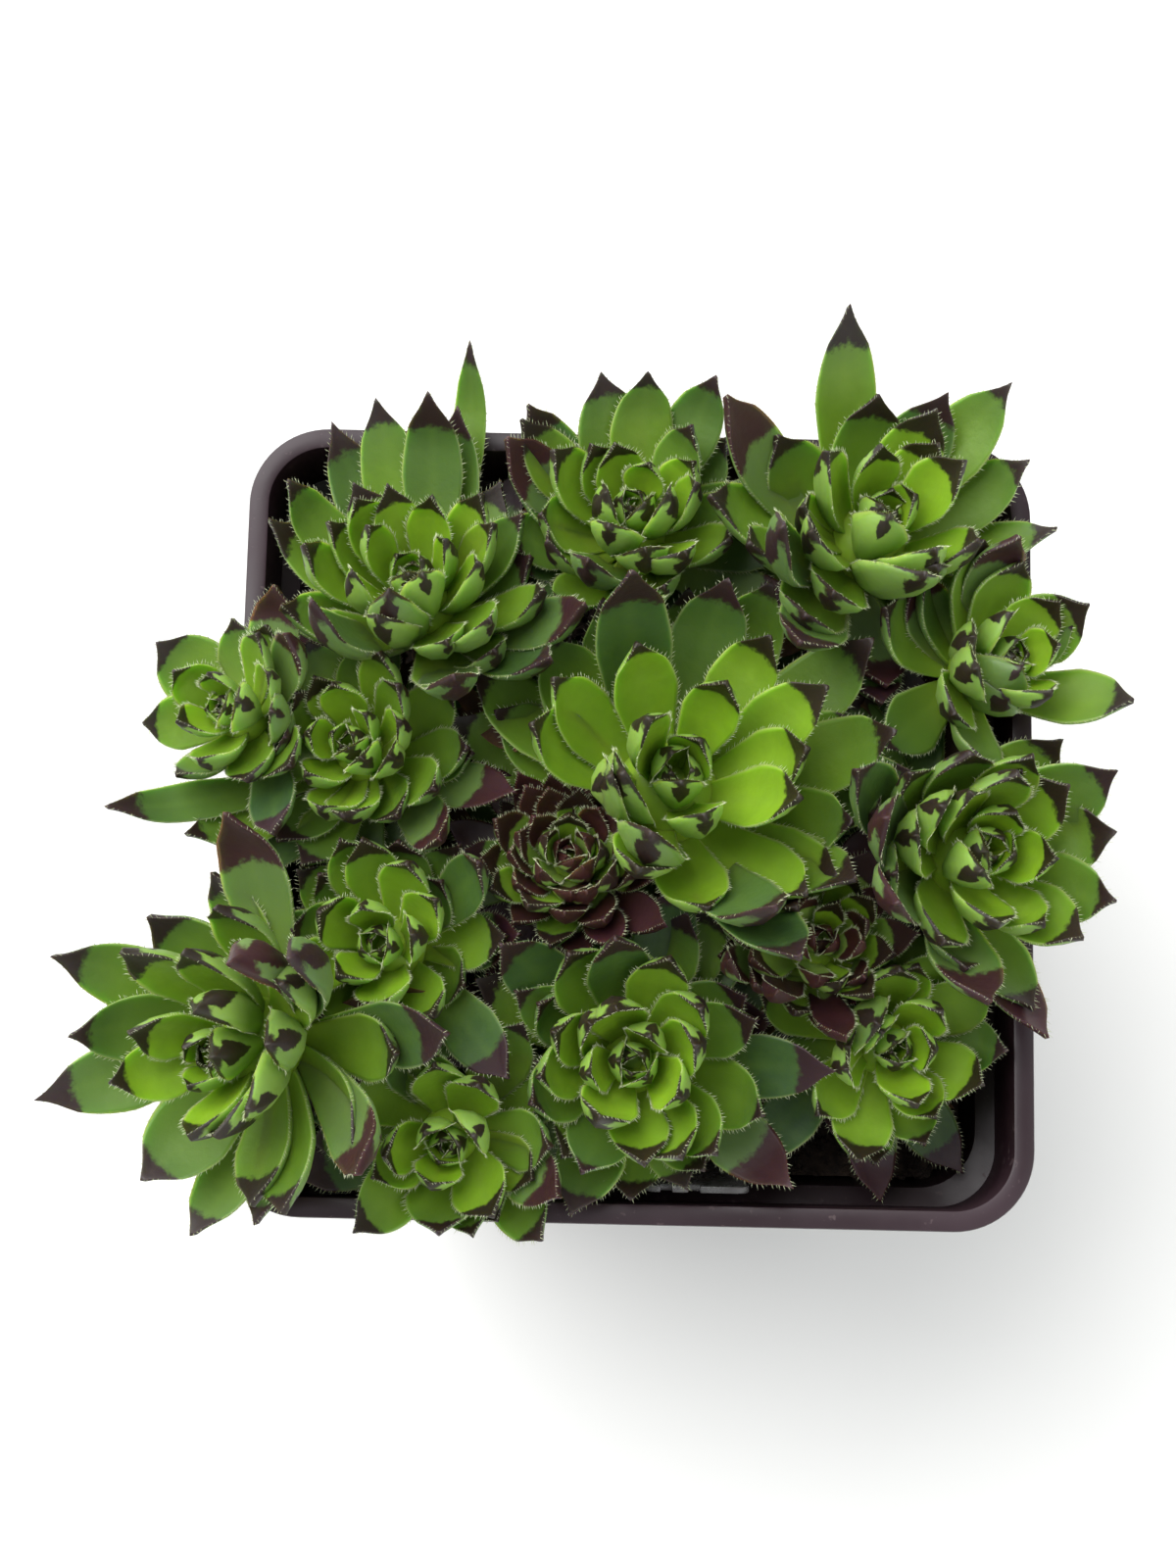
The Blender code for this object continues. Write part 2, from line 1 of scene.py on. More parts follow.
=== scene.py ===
# %% [markdown]
# A potted houseleek, dressed for its portrait.
# The imported model gives the sizes: a square nursery pot, its soil, a clear label and fifteen
# rosettes. This script keeps their places and makes each surface as the real one is.
# The model could be built again from nothing, but then it could drift from the solids, so it is
# loaded first, each finer piece is built in the place of the node that it stands for and hung
# under the root body, and that node is hidden.

# %% Load the imported model
import random
from math import cos, pi, radians, sin
from typing import NamedTuple

import bmesh
import bpy
import numpy as np
from mathutils import Euler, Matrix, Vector
from mathutils.bvhtree import BVHTree


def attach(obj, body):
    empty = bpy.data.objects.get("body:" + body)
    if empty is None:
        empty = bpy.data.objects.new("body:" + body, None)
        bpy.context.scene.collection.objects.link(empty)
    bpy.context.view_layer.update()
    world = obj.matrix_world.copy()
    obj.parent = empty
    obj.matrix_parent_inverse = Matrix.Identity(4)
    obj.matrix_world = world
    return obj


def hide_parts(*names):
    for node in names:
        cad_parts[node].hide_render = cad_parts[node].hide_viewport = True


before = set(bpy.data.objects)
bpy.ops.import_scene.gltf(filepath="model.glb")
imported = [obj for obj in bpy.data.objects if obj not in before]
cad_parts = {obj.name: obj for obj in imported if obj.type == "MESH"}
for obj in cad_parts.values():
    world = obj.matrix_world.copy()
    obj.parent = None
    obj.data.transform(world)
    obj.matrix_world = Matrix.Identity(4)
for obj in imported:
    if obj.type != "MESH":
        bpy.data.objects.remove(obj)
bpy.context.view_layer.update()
MM = 0.001
print("nodes:", len(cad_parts))

# %% [markdown]
# The plant was photographed from almost straight above, from arm's length, with the pot's front
# towards the bottom of the picture. A long lens keeps the rim nearly square. The camera is set
# from a place and three turns, because aiming it at a point would lose the small roll.

# %% Camera
CAMERA_PLACE = (-0.00432, -0.03934, 0.35359)
CAMERA_TURN = (radians(9.0), 0.0, radians(1.25))
LENS = 56.25
FILM_HEIGHT = 36.0

camera_data = bpy.data.cameras.new("camera")
camera_data.sensor_fit = "VERTICAL"
camera_data.sensor_height = FILM_HEIGHT
camera_data.lens = LENS
camera_data.clip_start = 0.01
camera_data.clip_end = 10.0
camera = bpy.data.objects.new("camera", camera_data)
camera.location = CAMERA_PLACE
camera.rotation_euler = CAMERA_TURN
bpy.context.scene.collection.objects.link(camera)
bpy.context.scene.camera = camera
print("camera height:", CAMERA_PLACE[2], "m")

# %% [markdown]
# Daylight under a pale sky is one wide, soft light. A white world does most of that work, and
# one large panel above gives the leaves their shine and the pot its soft shadow. A hard lamp
# would be quicker to set, but it would burn spots into the glossy leaf tips.

# %% Floor and light
FLOOR_SIZE = 6.0
PANEL_PLACE = (-0.5, 0.5, 0.9)
PANEL_SIZE = 1.2
PANEL_POWER = 25.0
SKY_STRENGTH = 0.66
FILL_PLACE = (0.7, -0.5, 0.7)
FILL_SIZE = 1.2
FILL_POWER = 5.0


def srgb(red, green, blue):
    """Turn 0-255 screen values into the linear colour that a shader takes."""
    return tuple(((value / 255 + 0.055) / 1.055) ** 2.4 for value in (red, green, blue)) + (1.0,)


def add_panel(name, place, size, power, aim):
    """Square light of a given size in metres, turned towards a point."""
    light = bpy.data.lights.new(name, "AREA")
    light.size = size
    light.energy = power
    panel = bpy.data.objects.new(name, light)
    panel.location = place
    panel.rotation_euler = (Vector(aim) - Vector(place)).to_track_quat("-Z", "Y").to_euler()
    bpy.context.scene.collection.objects.link(panel)
    return panel


world = bpy.data.worlds.new("sky")
world.use_nodes = True
world.node_tree.nodes["Background"].inputs["Color"].default_value = (0.93, 0.97, 1.0, 1.0)
world.node_tree.nodes["Background"].inputs["Strength"].default_value = SKY_STRENGTH
bpy.context.scene.world = world
add_panel("window", PANEL_PLACE, PANEL_SIZE, PANEL_POWER, (0.0, 0.0, 0.08))
add_panel("reflector", FILL_PLACE, FILL_SIZE, FILL_POWER, (0.0, 0.0, 0.08))
bpy.context.scene.view_settings.view_transform = "Standard"

floor_mesh = bpy.data.meshes.new("floor")
half_floor = FLOOR_SIZE / 2
floor_corners = [(-half_floor, -half_floor, 0), (half_floor, -half_floor, 0),
                 (half_floor, half_floor, 0), (-half_floor, half_floor, 0)]
floor_mesh.from_pydata(floor_corners, [], [(0, 1, 2, 3)])
floor = bpy.data.objects.new("floor", floor_mesh)
bpy.context.scene.collection.objects.link(floor)
print("floor:", FLOOR_SIZE, "m across")

# %% [markdown]
# Every finish below is a sum of small effects: a stain here, a paler edge there. In a node
# tree, each sum and product is a Math node. Placing those by hand takes many lines, so this
# small helper lets plain Python sums add the nodes. It serves shader trees and geometry trees
# alike, because both use the same Math, Map Range and Mix nodes.

# %% Sums that write nodes
class Field:
    """One value in a node tree: sums and products of fields add Math nodes."""

    def __init__(self, tree, socket):
        self.tree = tree
        self.socket = socket

    def math(self, operation, *values):
        """Add a Math node with these values."""
        node = self.tree.nodes.new("ShaderNodeMath")
        node.operation = operation
        for socket, value in zip(node.inputs, values):
            feed(self.tree, socket, value)
        return Field(self.tree, node.outputs[0])

    def __add__(self, other):
        return self.math("ADD", self, other)

    def __sub__(self, other):
        return self.math("SUBTRACT", self, other)

    def __rsub__(self, other):
        return self.math("SUBTRACT", other, self)

    def __mul__(self, other):
        return self.math("MULTIPLY", self, other)

    def __truediv__(self, other):
        return self.math("DIVIDE", self, other)

    def __pow__(self, other):
        return self.math("POWER", self, other)

    __radd__ = __add__
    __rmul__ = __mul__

    def size(self):
        """The value without its sign."""
        return self.math("ABSOLUTE", self)

    def least(self, other):
        """The smaller of two values."""
        return self.math("MINIMUM", self, other)

    def most(self, other):
        """The larger of two values."""
        return self.math("MAXIMUM", self, other)

    def sine(self):
        """Sine of an angle in radians."""
        return self.math("SINE", self)

    def cosine(self):
        """Cosine of an angle in radians."""
        return self.math("COSINE", self)

    def arc(self):
        """Angle in radians that has this cosine."""
        return self.math("ARCCOSINE", self)

    def above(self, limit):
        """One where the value is greater than the limit."""
        return self.math("GREATER_THAN", self, limit)

    def ramp(self, low, high):
        """Smooth step from zero at low to one at high."""
        node = self.tree.nodes.new("ShaderNodeMapRange")
        node.interpolation_type = "SMOOTHSTEP"
        feed(self.tree, node.inputs["Value"], self)
        feed(self.tree, node.inputs["From Min"], low)
        feed(self.tree, node.inputs["From Max"], high)
        return Field(self.tree, node.outputs["Result"])


def feed(tree, socket, value):
    """Link a field to an input socket, or set the socket to a plain value."""
    if isinstance(value, Field):
        tree.links.new(value.socket, socket)
    else:
        socket.default_value = value


def add_node(tree, kind, values=None, **settings):
    """Add a node, set its options and feed its named inputs."""
    node = tree.nodes.new(kind)
    for name, value in settings.items():
        setattr(node, name, value)
    for name, value in (values or {}).items():
        feed(tree, node.inputs[name], value)
    return node


def vector_math(tree, operation, first, second):
    """Vector Math node: a sum, a cross product, or a vector times a number."""
    node = add_node(tree, "ShaderNodeVectorMath", operation=operation)
    feed(tree, node.inputs[0], first)
    feed(tree, node.inputs["Scale"] if operation == "SCALE" else node.inputs[1], second)
    return Field(tree, node.outputs["Vector"])


def mix(tree, factor, first, second):
    """Mix two colours."""
    node = add_node(tree, "ShaderNodeMix", data_type="RGBA", blend_type="MIX")
    feed(tree, node.inputs[0], factor)
    feed(tree, node.inputs[6], first)
    feed(tree, node.inputs[7], second)
    return Field(tree, node.outputs[2])


print("helper ready")

# %% [markdown]
# Two effects come back on many surfaces here: soft patches of stain or dust, and fine grain.
# Each is a shader node group, built once and placed wherever it is needed with its own scale.
# A group puts out only masks and normals, so that the exported model can bake what uses it.

# %% Shared effects
def new_group(name, sockets_in, sockets_out, kind="ShaderNodeTree"):
    """Empty node group with named inputs and outputs."""
    group = bpy.data.node_groups.new(name, kind)
    for label, socket_type, value in sockets_in:
        socket = group.interface.new_socket(label, in_out="INPUT", socket_type=socket_type)
        if value is not None:
            socket.default_value = value
    for label, socket_type in sockets_out:
        group.interface.new_socket(label, in_out="OUTPUT", socket_type=socket_type)
    return group, group.nodes.new("NodeGroupInput"), group.nodes.new("NodeGroupOutput")


def patches_group():
    """Group whose mask is one inside soft, cloudy patches."""
    sockets_in = (("Scale", "NodeSocketFloat", 60.0), ("Cover", "NodeSocketFloat", 0.5),
                  ("Softness", "NodeSocketFloat", 0.12))
    group, start, end = new_group("patches", sockets_in, (("Mask", "NodeSocketFloat"),))
    place = add_node(group, "ShaderNodeTexCoord")
    cloud = add_node(group, "ShaderNodeTexNoise", {"Scale": Field(group, start.outputs["Scale"]),
                                                   "Detail": 4.0, "Roughness": 0.6})
    group.links.new(place.outputs["Object"], cloud.inputs["Vector"])
    level = 1.0 - Field(group, start.outputs["Cover"])
    softness = Field(group, start.outputs["Softness"])
    mask = Field(group, cloud.outputs["Fac"]).ramp(level - softness, level + softness)
    feed(group, end.inputs["Mask"], mask)
    return group


def grain_group():
    """Group that puts out a bumpy normal and the height it came from."""
    sockets_in = (("Scale", "NodeSocketFloat", 900.0), ("Strength", "NodeSocketFloat", 0.2),
                  ("Depth", "NodeSocketFloat", 0.0001))
    sockets_out = (("Normal", "NodeSocketVector"), ("Height", "NodeSocketFloat"))
    group, start, end = new_group("grain", sockets_in, sockets_out)
    place = add_node(group, "ShaderNodeTexCoord")
    cloud = add_node(group, "ShaderNodeTexNoise", {"Scale": Field(group, start.outputs["Scale"]),
                                                   "Detail": 3.0, "Roughness": 0.55})
    group.links.new(place.outputs["Object"], cloud.inputs["Vector"])
    height = Field(group, cloud.outputs["Fac"])
    bump = add_node(group, "ShaderNodeBump", {"Strength": Field(group, start.outputs["Strength"]),
                                              "Distance": Field(group, start.outputs["Depth"]),
                                              "Height": height})
    group.links.new(bump.outputs["Normal"], end.inputs["Normal"])
    feed(group, end.inputs["Height"], height)
    return group


PATCHES = patches_group()
GRAIN = grain_group()


def place_group(tree, group, output, **values):
    """Place a shader node group with its own values and return one of its outputs."""
    node = add_node(tree, "ShaderNodeGroup", node_tree=group)
    for name, value in values.items():
        feed(tree, node.inputs[name.capitalize()], value)
    return Field(tree, node.outputs[output])


def new_material(name, roughness):
    """Material with a Principled shader, its tree and the shader."""
    material = bpy.data.materials.new(name)
    material.use_nodes = True
    tree = material.node_tree
    shader = tree.nodes["Principled BSDF"]
    shader.inputs["Roughness"].default_value = roughness
    return material, tree, shader


def attribute(tree, name):
    """Value that the mesh carries under a name."""
    node = add_node(tree, "ShaderNodeAttribute", attribute_name=name)
    return Field(tree, node.outputs["Fac"])


print("shared effects:", PATCHES.name, GRAIN.name)

# %% [markdown]
# The floor is plain pale card. A single white would look like a cut-out, so a very faint grain
# keeps it a surface.

# %% Floor card
def card_material():
    """Near-white card with a faint grain."""
    material, tree, shader = new_material("pale_card", 0.8)
    shader.inputs["Base Color"].default_value = srgb(232, 231, 228)
    feed(tree, shader.inputs["Normal"],
         place_group(tree, GRAIN, "Normal", scale=700.0, strength=0.05, depth=0.0002))
    return material


floor.data.materials.append(card_material())
print("floor card done")

# %% [markdown]
# The pot is a thin vacuum-formed square, purple-brown and half shiny. Its wall flares to a
# ledge, then a wider collar ends in a flat lip. It could be a cube with its walls pushed about,
# but a loft through rounded squares follows the real section level by level. The solid has few
# corner steps, so this one has many, and a small bevel breaks its edges.

# %% Pot sizes
POT_HEIGHT = 80.0
RIM_HALF = 45.0
RIM_RADIUS = 9.0
RIM_WIDTH = 2.3
RIM_DEPTH = 2.4
WALL = 1.2
COLLAR_OUT = 1.1
COLLAR_SLOPE = 0.3
LEDGE_BELOW_RIM = 12.0
LEDGE_WIDTH = 2.4
LEDGE_SLOPE = 0.4
BASE_HALF = 32.0
BASE_RADIUS = 7.0
TOP_RADIUS = 8.0
FLOOR = 1.6
CORNER_STEPS = 16
SIDE_STEPS = 8
LIP_SOFTNESS = 0.35
DRAIN_RADIUS = 3.5
DRAIN_RING = 20.0
DRAIN_COUNT = 6
print("pot:", 2 * RIM_HALF, "x", 2 * RIM_HALF, "x", POT_HEIGHT, "mm")


# %% Pot shape
def rounded_square(half, radius):
    """Points round a square with rounded corners and points along its straight sides."""
    points = []
    for corner in range(4):
        turn = corner * pi / 2
        centre_x = (half - radius) * (1 if corner in (0, 3) else -1)
        centre_y = (half - radius) * (1 if corner in (0, 1) else -1)
        for step in range(CORNER_STEPS + 1):
            angle = turn + step / CORNER_STEPS * pi / 2
            points.append(Vector((centre_x + radius * cos(angle), centre_y + radius * sin(angle))))
        last = points[-1]
        run = 2 * (half - radius)
        direction = Vector((-sin(turn + pi / 2), cos(turn + pi / 2)))
        for step in range(1, SIDE_STEPS):
            points.append(last + direction * run * step / SIDE_STEPS)
    return points


def loft(levels):
    """Closed mesh through rounded squares, each given as (half width, radius, height)."""
    bm = bmesh.new()
    rings = []
    for half, radius, height in levels:
        rings.append([bm.verts.new((p.x * MM, p.y * MM, height * MM))
                      for p in rounded_square(half, radius)])
    for lower, upper in zip(rings, rings[1:]):
        for index in range(len(lower)):
            bm.faces.new((lower[index - 1], lower[index], upper[index], upper[index - 1]))
    bm.faces.new(reversed(rings[0]))
    bm.faces.new(rings[-1])
    bmesh.ops.recalc_face_normals(bm, faces=bm.faces)
    return bm


def wall_half(height):
    """Outer half width of the tapered wall at a height."""
    top_half = RIM_HALF - COLLAR_OUT - LEDGE_WIDTH
    return BASE_HALF + (top_half - BASE_HALF) * height / (POT_HEIGHT - LEDGE_BELOW_RIM)


def wall_radius(height):
    """Corner radius of the tapered wall at a height."""
    return BASE_RADIUS + (TOP_RADIUS - BASE_RADIUS) * height / POT_HEIGHT


def pot_levels():
    """Rounded squares from the base up the outside, over the lip and down the inside."""
    ledge = POT_HEIGHT - LEDGE_BELOW_RIM
    collar = RIM_HALF - COLLAR_OUT
    collar_radius = RIM_RADIUS - COLLAR_OUT
    inner = RIM_HALF - RIM_WIDTH
    inner_radius = RIM_RADIUS - RIM_WIDTH
    soft = LIP_SOFTNESS
    return (
        (BASE_HALF - 0.5, BASE_RADIUS - 0.5, 0.0),
        (BASE_HALF, BASE_RADIUS, 0.5),
        (wall_half(ledge) - 0.2, wall_radius(ledge), ledge - WALL - 0.5),
        (wall_half(ledge), wall_radius(ledge), ledge - WALL),
        (collar - COLLAR_SLOPE, collar_radius, ledge - WALL + 0.5),
        (collar - 0.1, collar_radius, ledge - WALL + 1.1),
        (collar, collar_radius, POT_HEIGHT - RIM_DEPTH),
        (RIM_HALF - 0.1, RIM_RADIUS, POT_HEIGHT - RIM_DEPTH + 0.15),
        (RIM_HALF, RIM_RADIUS, POT_HEIGHT - RIM_DEPTH + 0.5),
        (RIM_HALF, RIM_RADIUS, POT_HEIGHT - soft),
        (RIM_HALF - soft * 0.3, RIM_RADIUS - soft * 0.3, POT_HEIGHT - soft * 0.3),
        (RIM_HALF - soft, RIM_RADIUS - soft, POT_HEIGHT),
        (inner + soft, inner_radius + soft, POT_HEIGHT),
        (inner + soft * 0.2, inner_radius + soft * 0.2, POT_HEIGHT - soft * 0.3),
        (inner - 0.05, inner_radius, POT_HEIGHT - soft * 1.4),
        (collar - COLLAR_SLOPE - WALL, collar_radius - WALL, ledge + 0.5),
        (wall_half(ledge) - WALL, wall_radius(ledge) - WALL, ledge - LEDGE_SLOPE),
        (wall_half(FLOOR) - WALL, wall_radius(FLOOR) - WALL, FLOOR),
    )


def new_piece(name, mesh):
    """Object at the origin that holds a mesh."""
    piece = bpy.data.objects.new(name, mesh)
    bpy.context.scene.collection.objects.link(piece)
    return piece


def from_bmesh(name, bm):
    """Turn a bmesh into an object and free it."""
    mesh = bpy.data.meshes.new(name)
    bm.to_mesh(mesh)
    bm.free()
    return new_piece(name, mesh)


def bake_modifiers(piece):
    """Turn a piece's evaluated shape into its plain mesh and take its modifiers off."""
    graph = bpy.context.evaluated_depsgraph_get()
    mesh = bpy.data.meshes.new_from_object(piece.evaluated_get(graph))
    old = piece.data
    piece.data = mesh
    piece.modifiers.clear()
    bpy.data.meshes.remove(old)


def dress(piece, material):
    """Give a whole piece one material."""
    piece.data.materials.clear()
    piece.data.materials.append(material)
    piece.data.polygons.foreach_set("material_index", np.zeros(len(piece.data.polygons), dtype=np.int32))


def shade(piece, angle):
    """Smooth shading, with edges sharper than an angle in degrees left crisp."""
    piece.data.shade_smooth()
    piece.data.set_sharp_from_angle(angle=radians(angle))


def make_pot():
    """Fine pot with round drain holes through its floor."""
    pot = from_bmesh("nursery_pot", loft(pot_levels()))
    for index in range(DRAIN_COUNT):
        angle = (index + 0.5) / DRAIN_COUNT * 2 * pi
        bm = bmesh.new()
        bmesh.ops.create_cone(bm, cap_ends=True, segments=32, radius1=DRAIN_RADIUS * MM,
                              radius2=DRAIN_RADIUS * MM, depth=4 * FLOOR * MM)
        centre = Vector((cos(angle) * DRAIN_RING, sin(angle) * DRAIN_RING, FLOOR / 2)) * MM
        bmesh.ops.translate(bm, verts=bm.verts, vec=centre)
        cutter = from_bmesh("drain_cutter", bm)
        hole = pot.modifiers.new("hole", "BOOLEAN")
        hole.operation = "DIFFERENCE"
        hole.object = cutter
        hole.solver = "MANIFOLD"
        bake_modifiers(pot)
        bpy.data.objects.remove(cutter)
    shade(pot, 35)
    return pot


pot = make_pot()
print("pot faces:", len(pot.data.polygons))

# %% [markdown]
# Thin nursery plastic is dark purple-brown with a soft shine. In use it gathers fine scratches
# and a chalky bloom where hard water dried. Below the rim its colour is painted darker towards
# the bottom of the pot, as painted shade. The shine stays on the shader, and dust and splashes
# are masks from the shared groups.

# %% Pot plastic
def pot_material():
    """Purple-brown plastic with bloom, scratches and painted shade that darkens it below the rim."""
    material, tree, shader = new_material("nursery_plastic", 0.42)
    bloom = place_group(tree, PATCHES, "Mask", scale=55.0, cover=0.42, softness=0.16)
    specks = place_group(tree, PATCHES, "Mask", scale=900.0, cover=0.34, softness=0.04)
    place = add_node(tree, "ShaderNodeTexCoord")
    split = add_node(tree, "ShaderNodeSeparateXYZ")
    tree.links.new(place.outputs["Object"], split.inputs[0])
    # One near the rim, falling to nothing below it, where painted shade darkens the plastic.
    high = Field(tree, split.outputs["Z"]).ramp(0.062, 0.078)
    color = mix(tree, bloom * 0.35, srgb(38, 22, 28), srgb(62, 44, 52))
    color = mix(tree, specks * 0.25, color, srgb(120, 104, 104))
    # Painted shade: below the rim the plastic is mixed towards near-black, darker towards the bottom.
    color = mix(tree, (1.0 - high) * 0.6, color, srgb(20, 14, 15))
    feed(tree, shader.inputs["Base Color"], color)
    feed(tree, shader.inputs["Roughness"], 0.36 + bloom * 0.18 + specks * 0.2)
    shader.inputs["Specular IOR Level"].default_value = 0.35
    feed(tree, shader.inputs["Normal"],
         place_group(tree, GRAIN, "Normal", scale=260.0, strength=0.18, depth=0.0002))
    return material


dress(pot, pot_material())
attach(pot, "root")
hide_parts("pot")
print("pot dressed")

# %% [markdown]
# A clear strip of plastic stands in the soil against the front wall. It is bare here. It could
# be a stretched cube, but the real one has rounded corners and two square notches punched in
# its top edge, so its outline is drawn as a flat polygon, given a thickness and bevelled.

# %% Plant label
LABEL_MIDDLE_X = 7.8
LABEL_WIDTH = 11.7
LABEL_THICKNESS = 0.8
LABEL_FOOT = (-36.8, 53.0)
LABEL_TOP = (-41.0, 78.6)
LABEL_CORNER = 1.4
LABEL_NOTCH = 1.3
LABEL_NOTCHES_X = (4.4, 7.5)


def label_outline(height):
    """Corners of the label's face, anticlockwise, with its notches and rounded top corners."""
    half = LABEL_WIDTH / 2
    points = [(-half, 0.0), (half, 0.0)]
    for centre_x, start in ((half - LABEL_CORNER, 0.0), (LABEL_CORNER - half, pi / 2)):
        for step in range(7):
            angle = start + step / 6 * pi / 2
            points.append((centre_x + LABEL_CORNER * cos(angle),
                           height - LABEL_CORNER + LABEL_CORNER * sin(angle)))
        if start == 0.0:
            for notch_x in sorted(LABEL_NOTCHES_X, reverse=True):
                right = notch_x - LABEL_MIDDLE_X + LABEL_NOTCH / 2
                left = right - LABEL_NOTCH
                points += [(right, height), (right, height - LABEL_NOTCH),
                           (left, height - LABEL_NOTCH), (left, height)]
    return points


def make_label():
    """Clear label in its leaning plane."""
    foot = Vector((LABEL_MIDDLE_X, *LABEL_FOOT))
    rise = Vector((LABEL_MIDDLE_X, *LABEL_TOP)) - foot
    turn = Vector((0, 0, 1)).rotation_difference(rise).to_matrix()
    bm = bmesh.new()
    ring = []
    for x, z in label_outline(rise.length):
        point = foot + turn @ Vector((x, -LABEL_THICKNESS / 2, z))
        ring.append(bm.verts.new(point * MM))
    face = bm.faces.new(ring)
    raised = bmesh.ops.extrude_face_region(bm, geom=[face])
    moved = [item for item in raised["geom"] if isinstance(item, bmesh.types.BMVert)]
    bmesh.ops.translate(bm, verts=moved, vec=turn @ Vector((0, LABEL_THICKNESS, 0)) * MM)
    bmesh.ops.recalc_face_normals(bm, faces=bm.faces)
    label = from_bmesh("clear_label", bm)
    bevel = label.modifiers.new("edges", "BEVEL")
    bevel.width = 0.15 * MM
    bevel.segments = 2
    bake_modifiers(label)
    shade(label, 40)
    return label


def label_material():
    """Clear plastic with dust and fine scratches."""
    material, tree, shader = new_material("clear_plastic", 0.16)
    shader.inputs["Transmission Weight"].default_value = 0.75
    shader.inputs["IOR"].default_value = 1.45
    dust = place_group(tree, PATCHES, "Mask", scale=240.0, cover=0.45, softness=0.2)
    feed(tree, shader.inputs["Base Color"], mix(tree, dust, srgb(206, 204, 203), srgb(150, 144, 143)))
    feed(tree, shader.inputs["Roughness"], 0.12 + dust * 0.35)
    feed(tree, shader.inputs["Normal"],
         place_group(tree, GRAIN, "Normal", scale=500.0, strength=0.08, depth=0.0001))
    return material


label = make_label()
dress(label, label_material())
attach(label, "root")
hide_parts("plant_label")
print("label faces:", len(label.data.polygons))

# %% [markdown]
# A houseleek's rosette follows one rule. Leaves open one by one, each turned by the golden
# angle from the one before, and as they age they grow longer and lean out. A crowded clump
# adds a second rule: a leaf that meets a neighbour bends aside or stays short. The solids were
# laid out by these same rules, so the script repeats them, and each fine leaf lies in its place.
# Reading the places off the solid mesh instead would only copy its coarse corners.

# %% The rosettes
SOIL_TOP = 62.0
GAP = 0.3
STEM_SIDES = 6
STEM_DEPTH = 9.0
STEM_SHARE = 0.11
LEAST_STEM = 1.3
BUD_SHARE = 0.4
CORE_SHARE = 0.24
CORE_STRETCH = 1.25
CORE_SIDES = 8
CORE_RINGS = 5


class Head(NamedTuple):
    """One rosette: where its bud is, how it leans and how its leaves spread."""
    name: str
    bud: tuple
    lean: float
    tilt: float
    reach: float
    width: float
    leaves: int
    spread: float
    stem_foot: tuple
    turn: float
    curl: float = 34.0
    closed: float = 1.2
    strays: tuple = ()


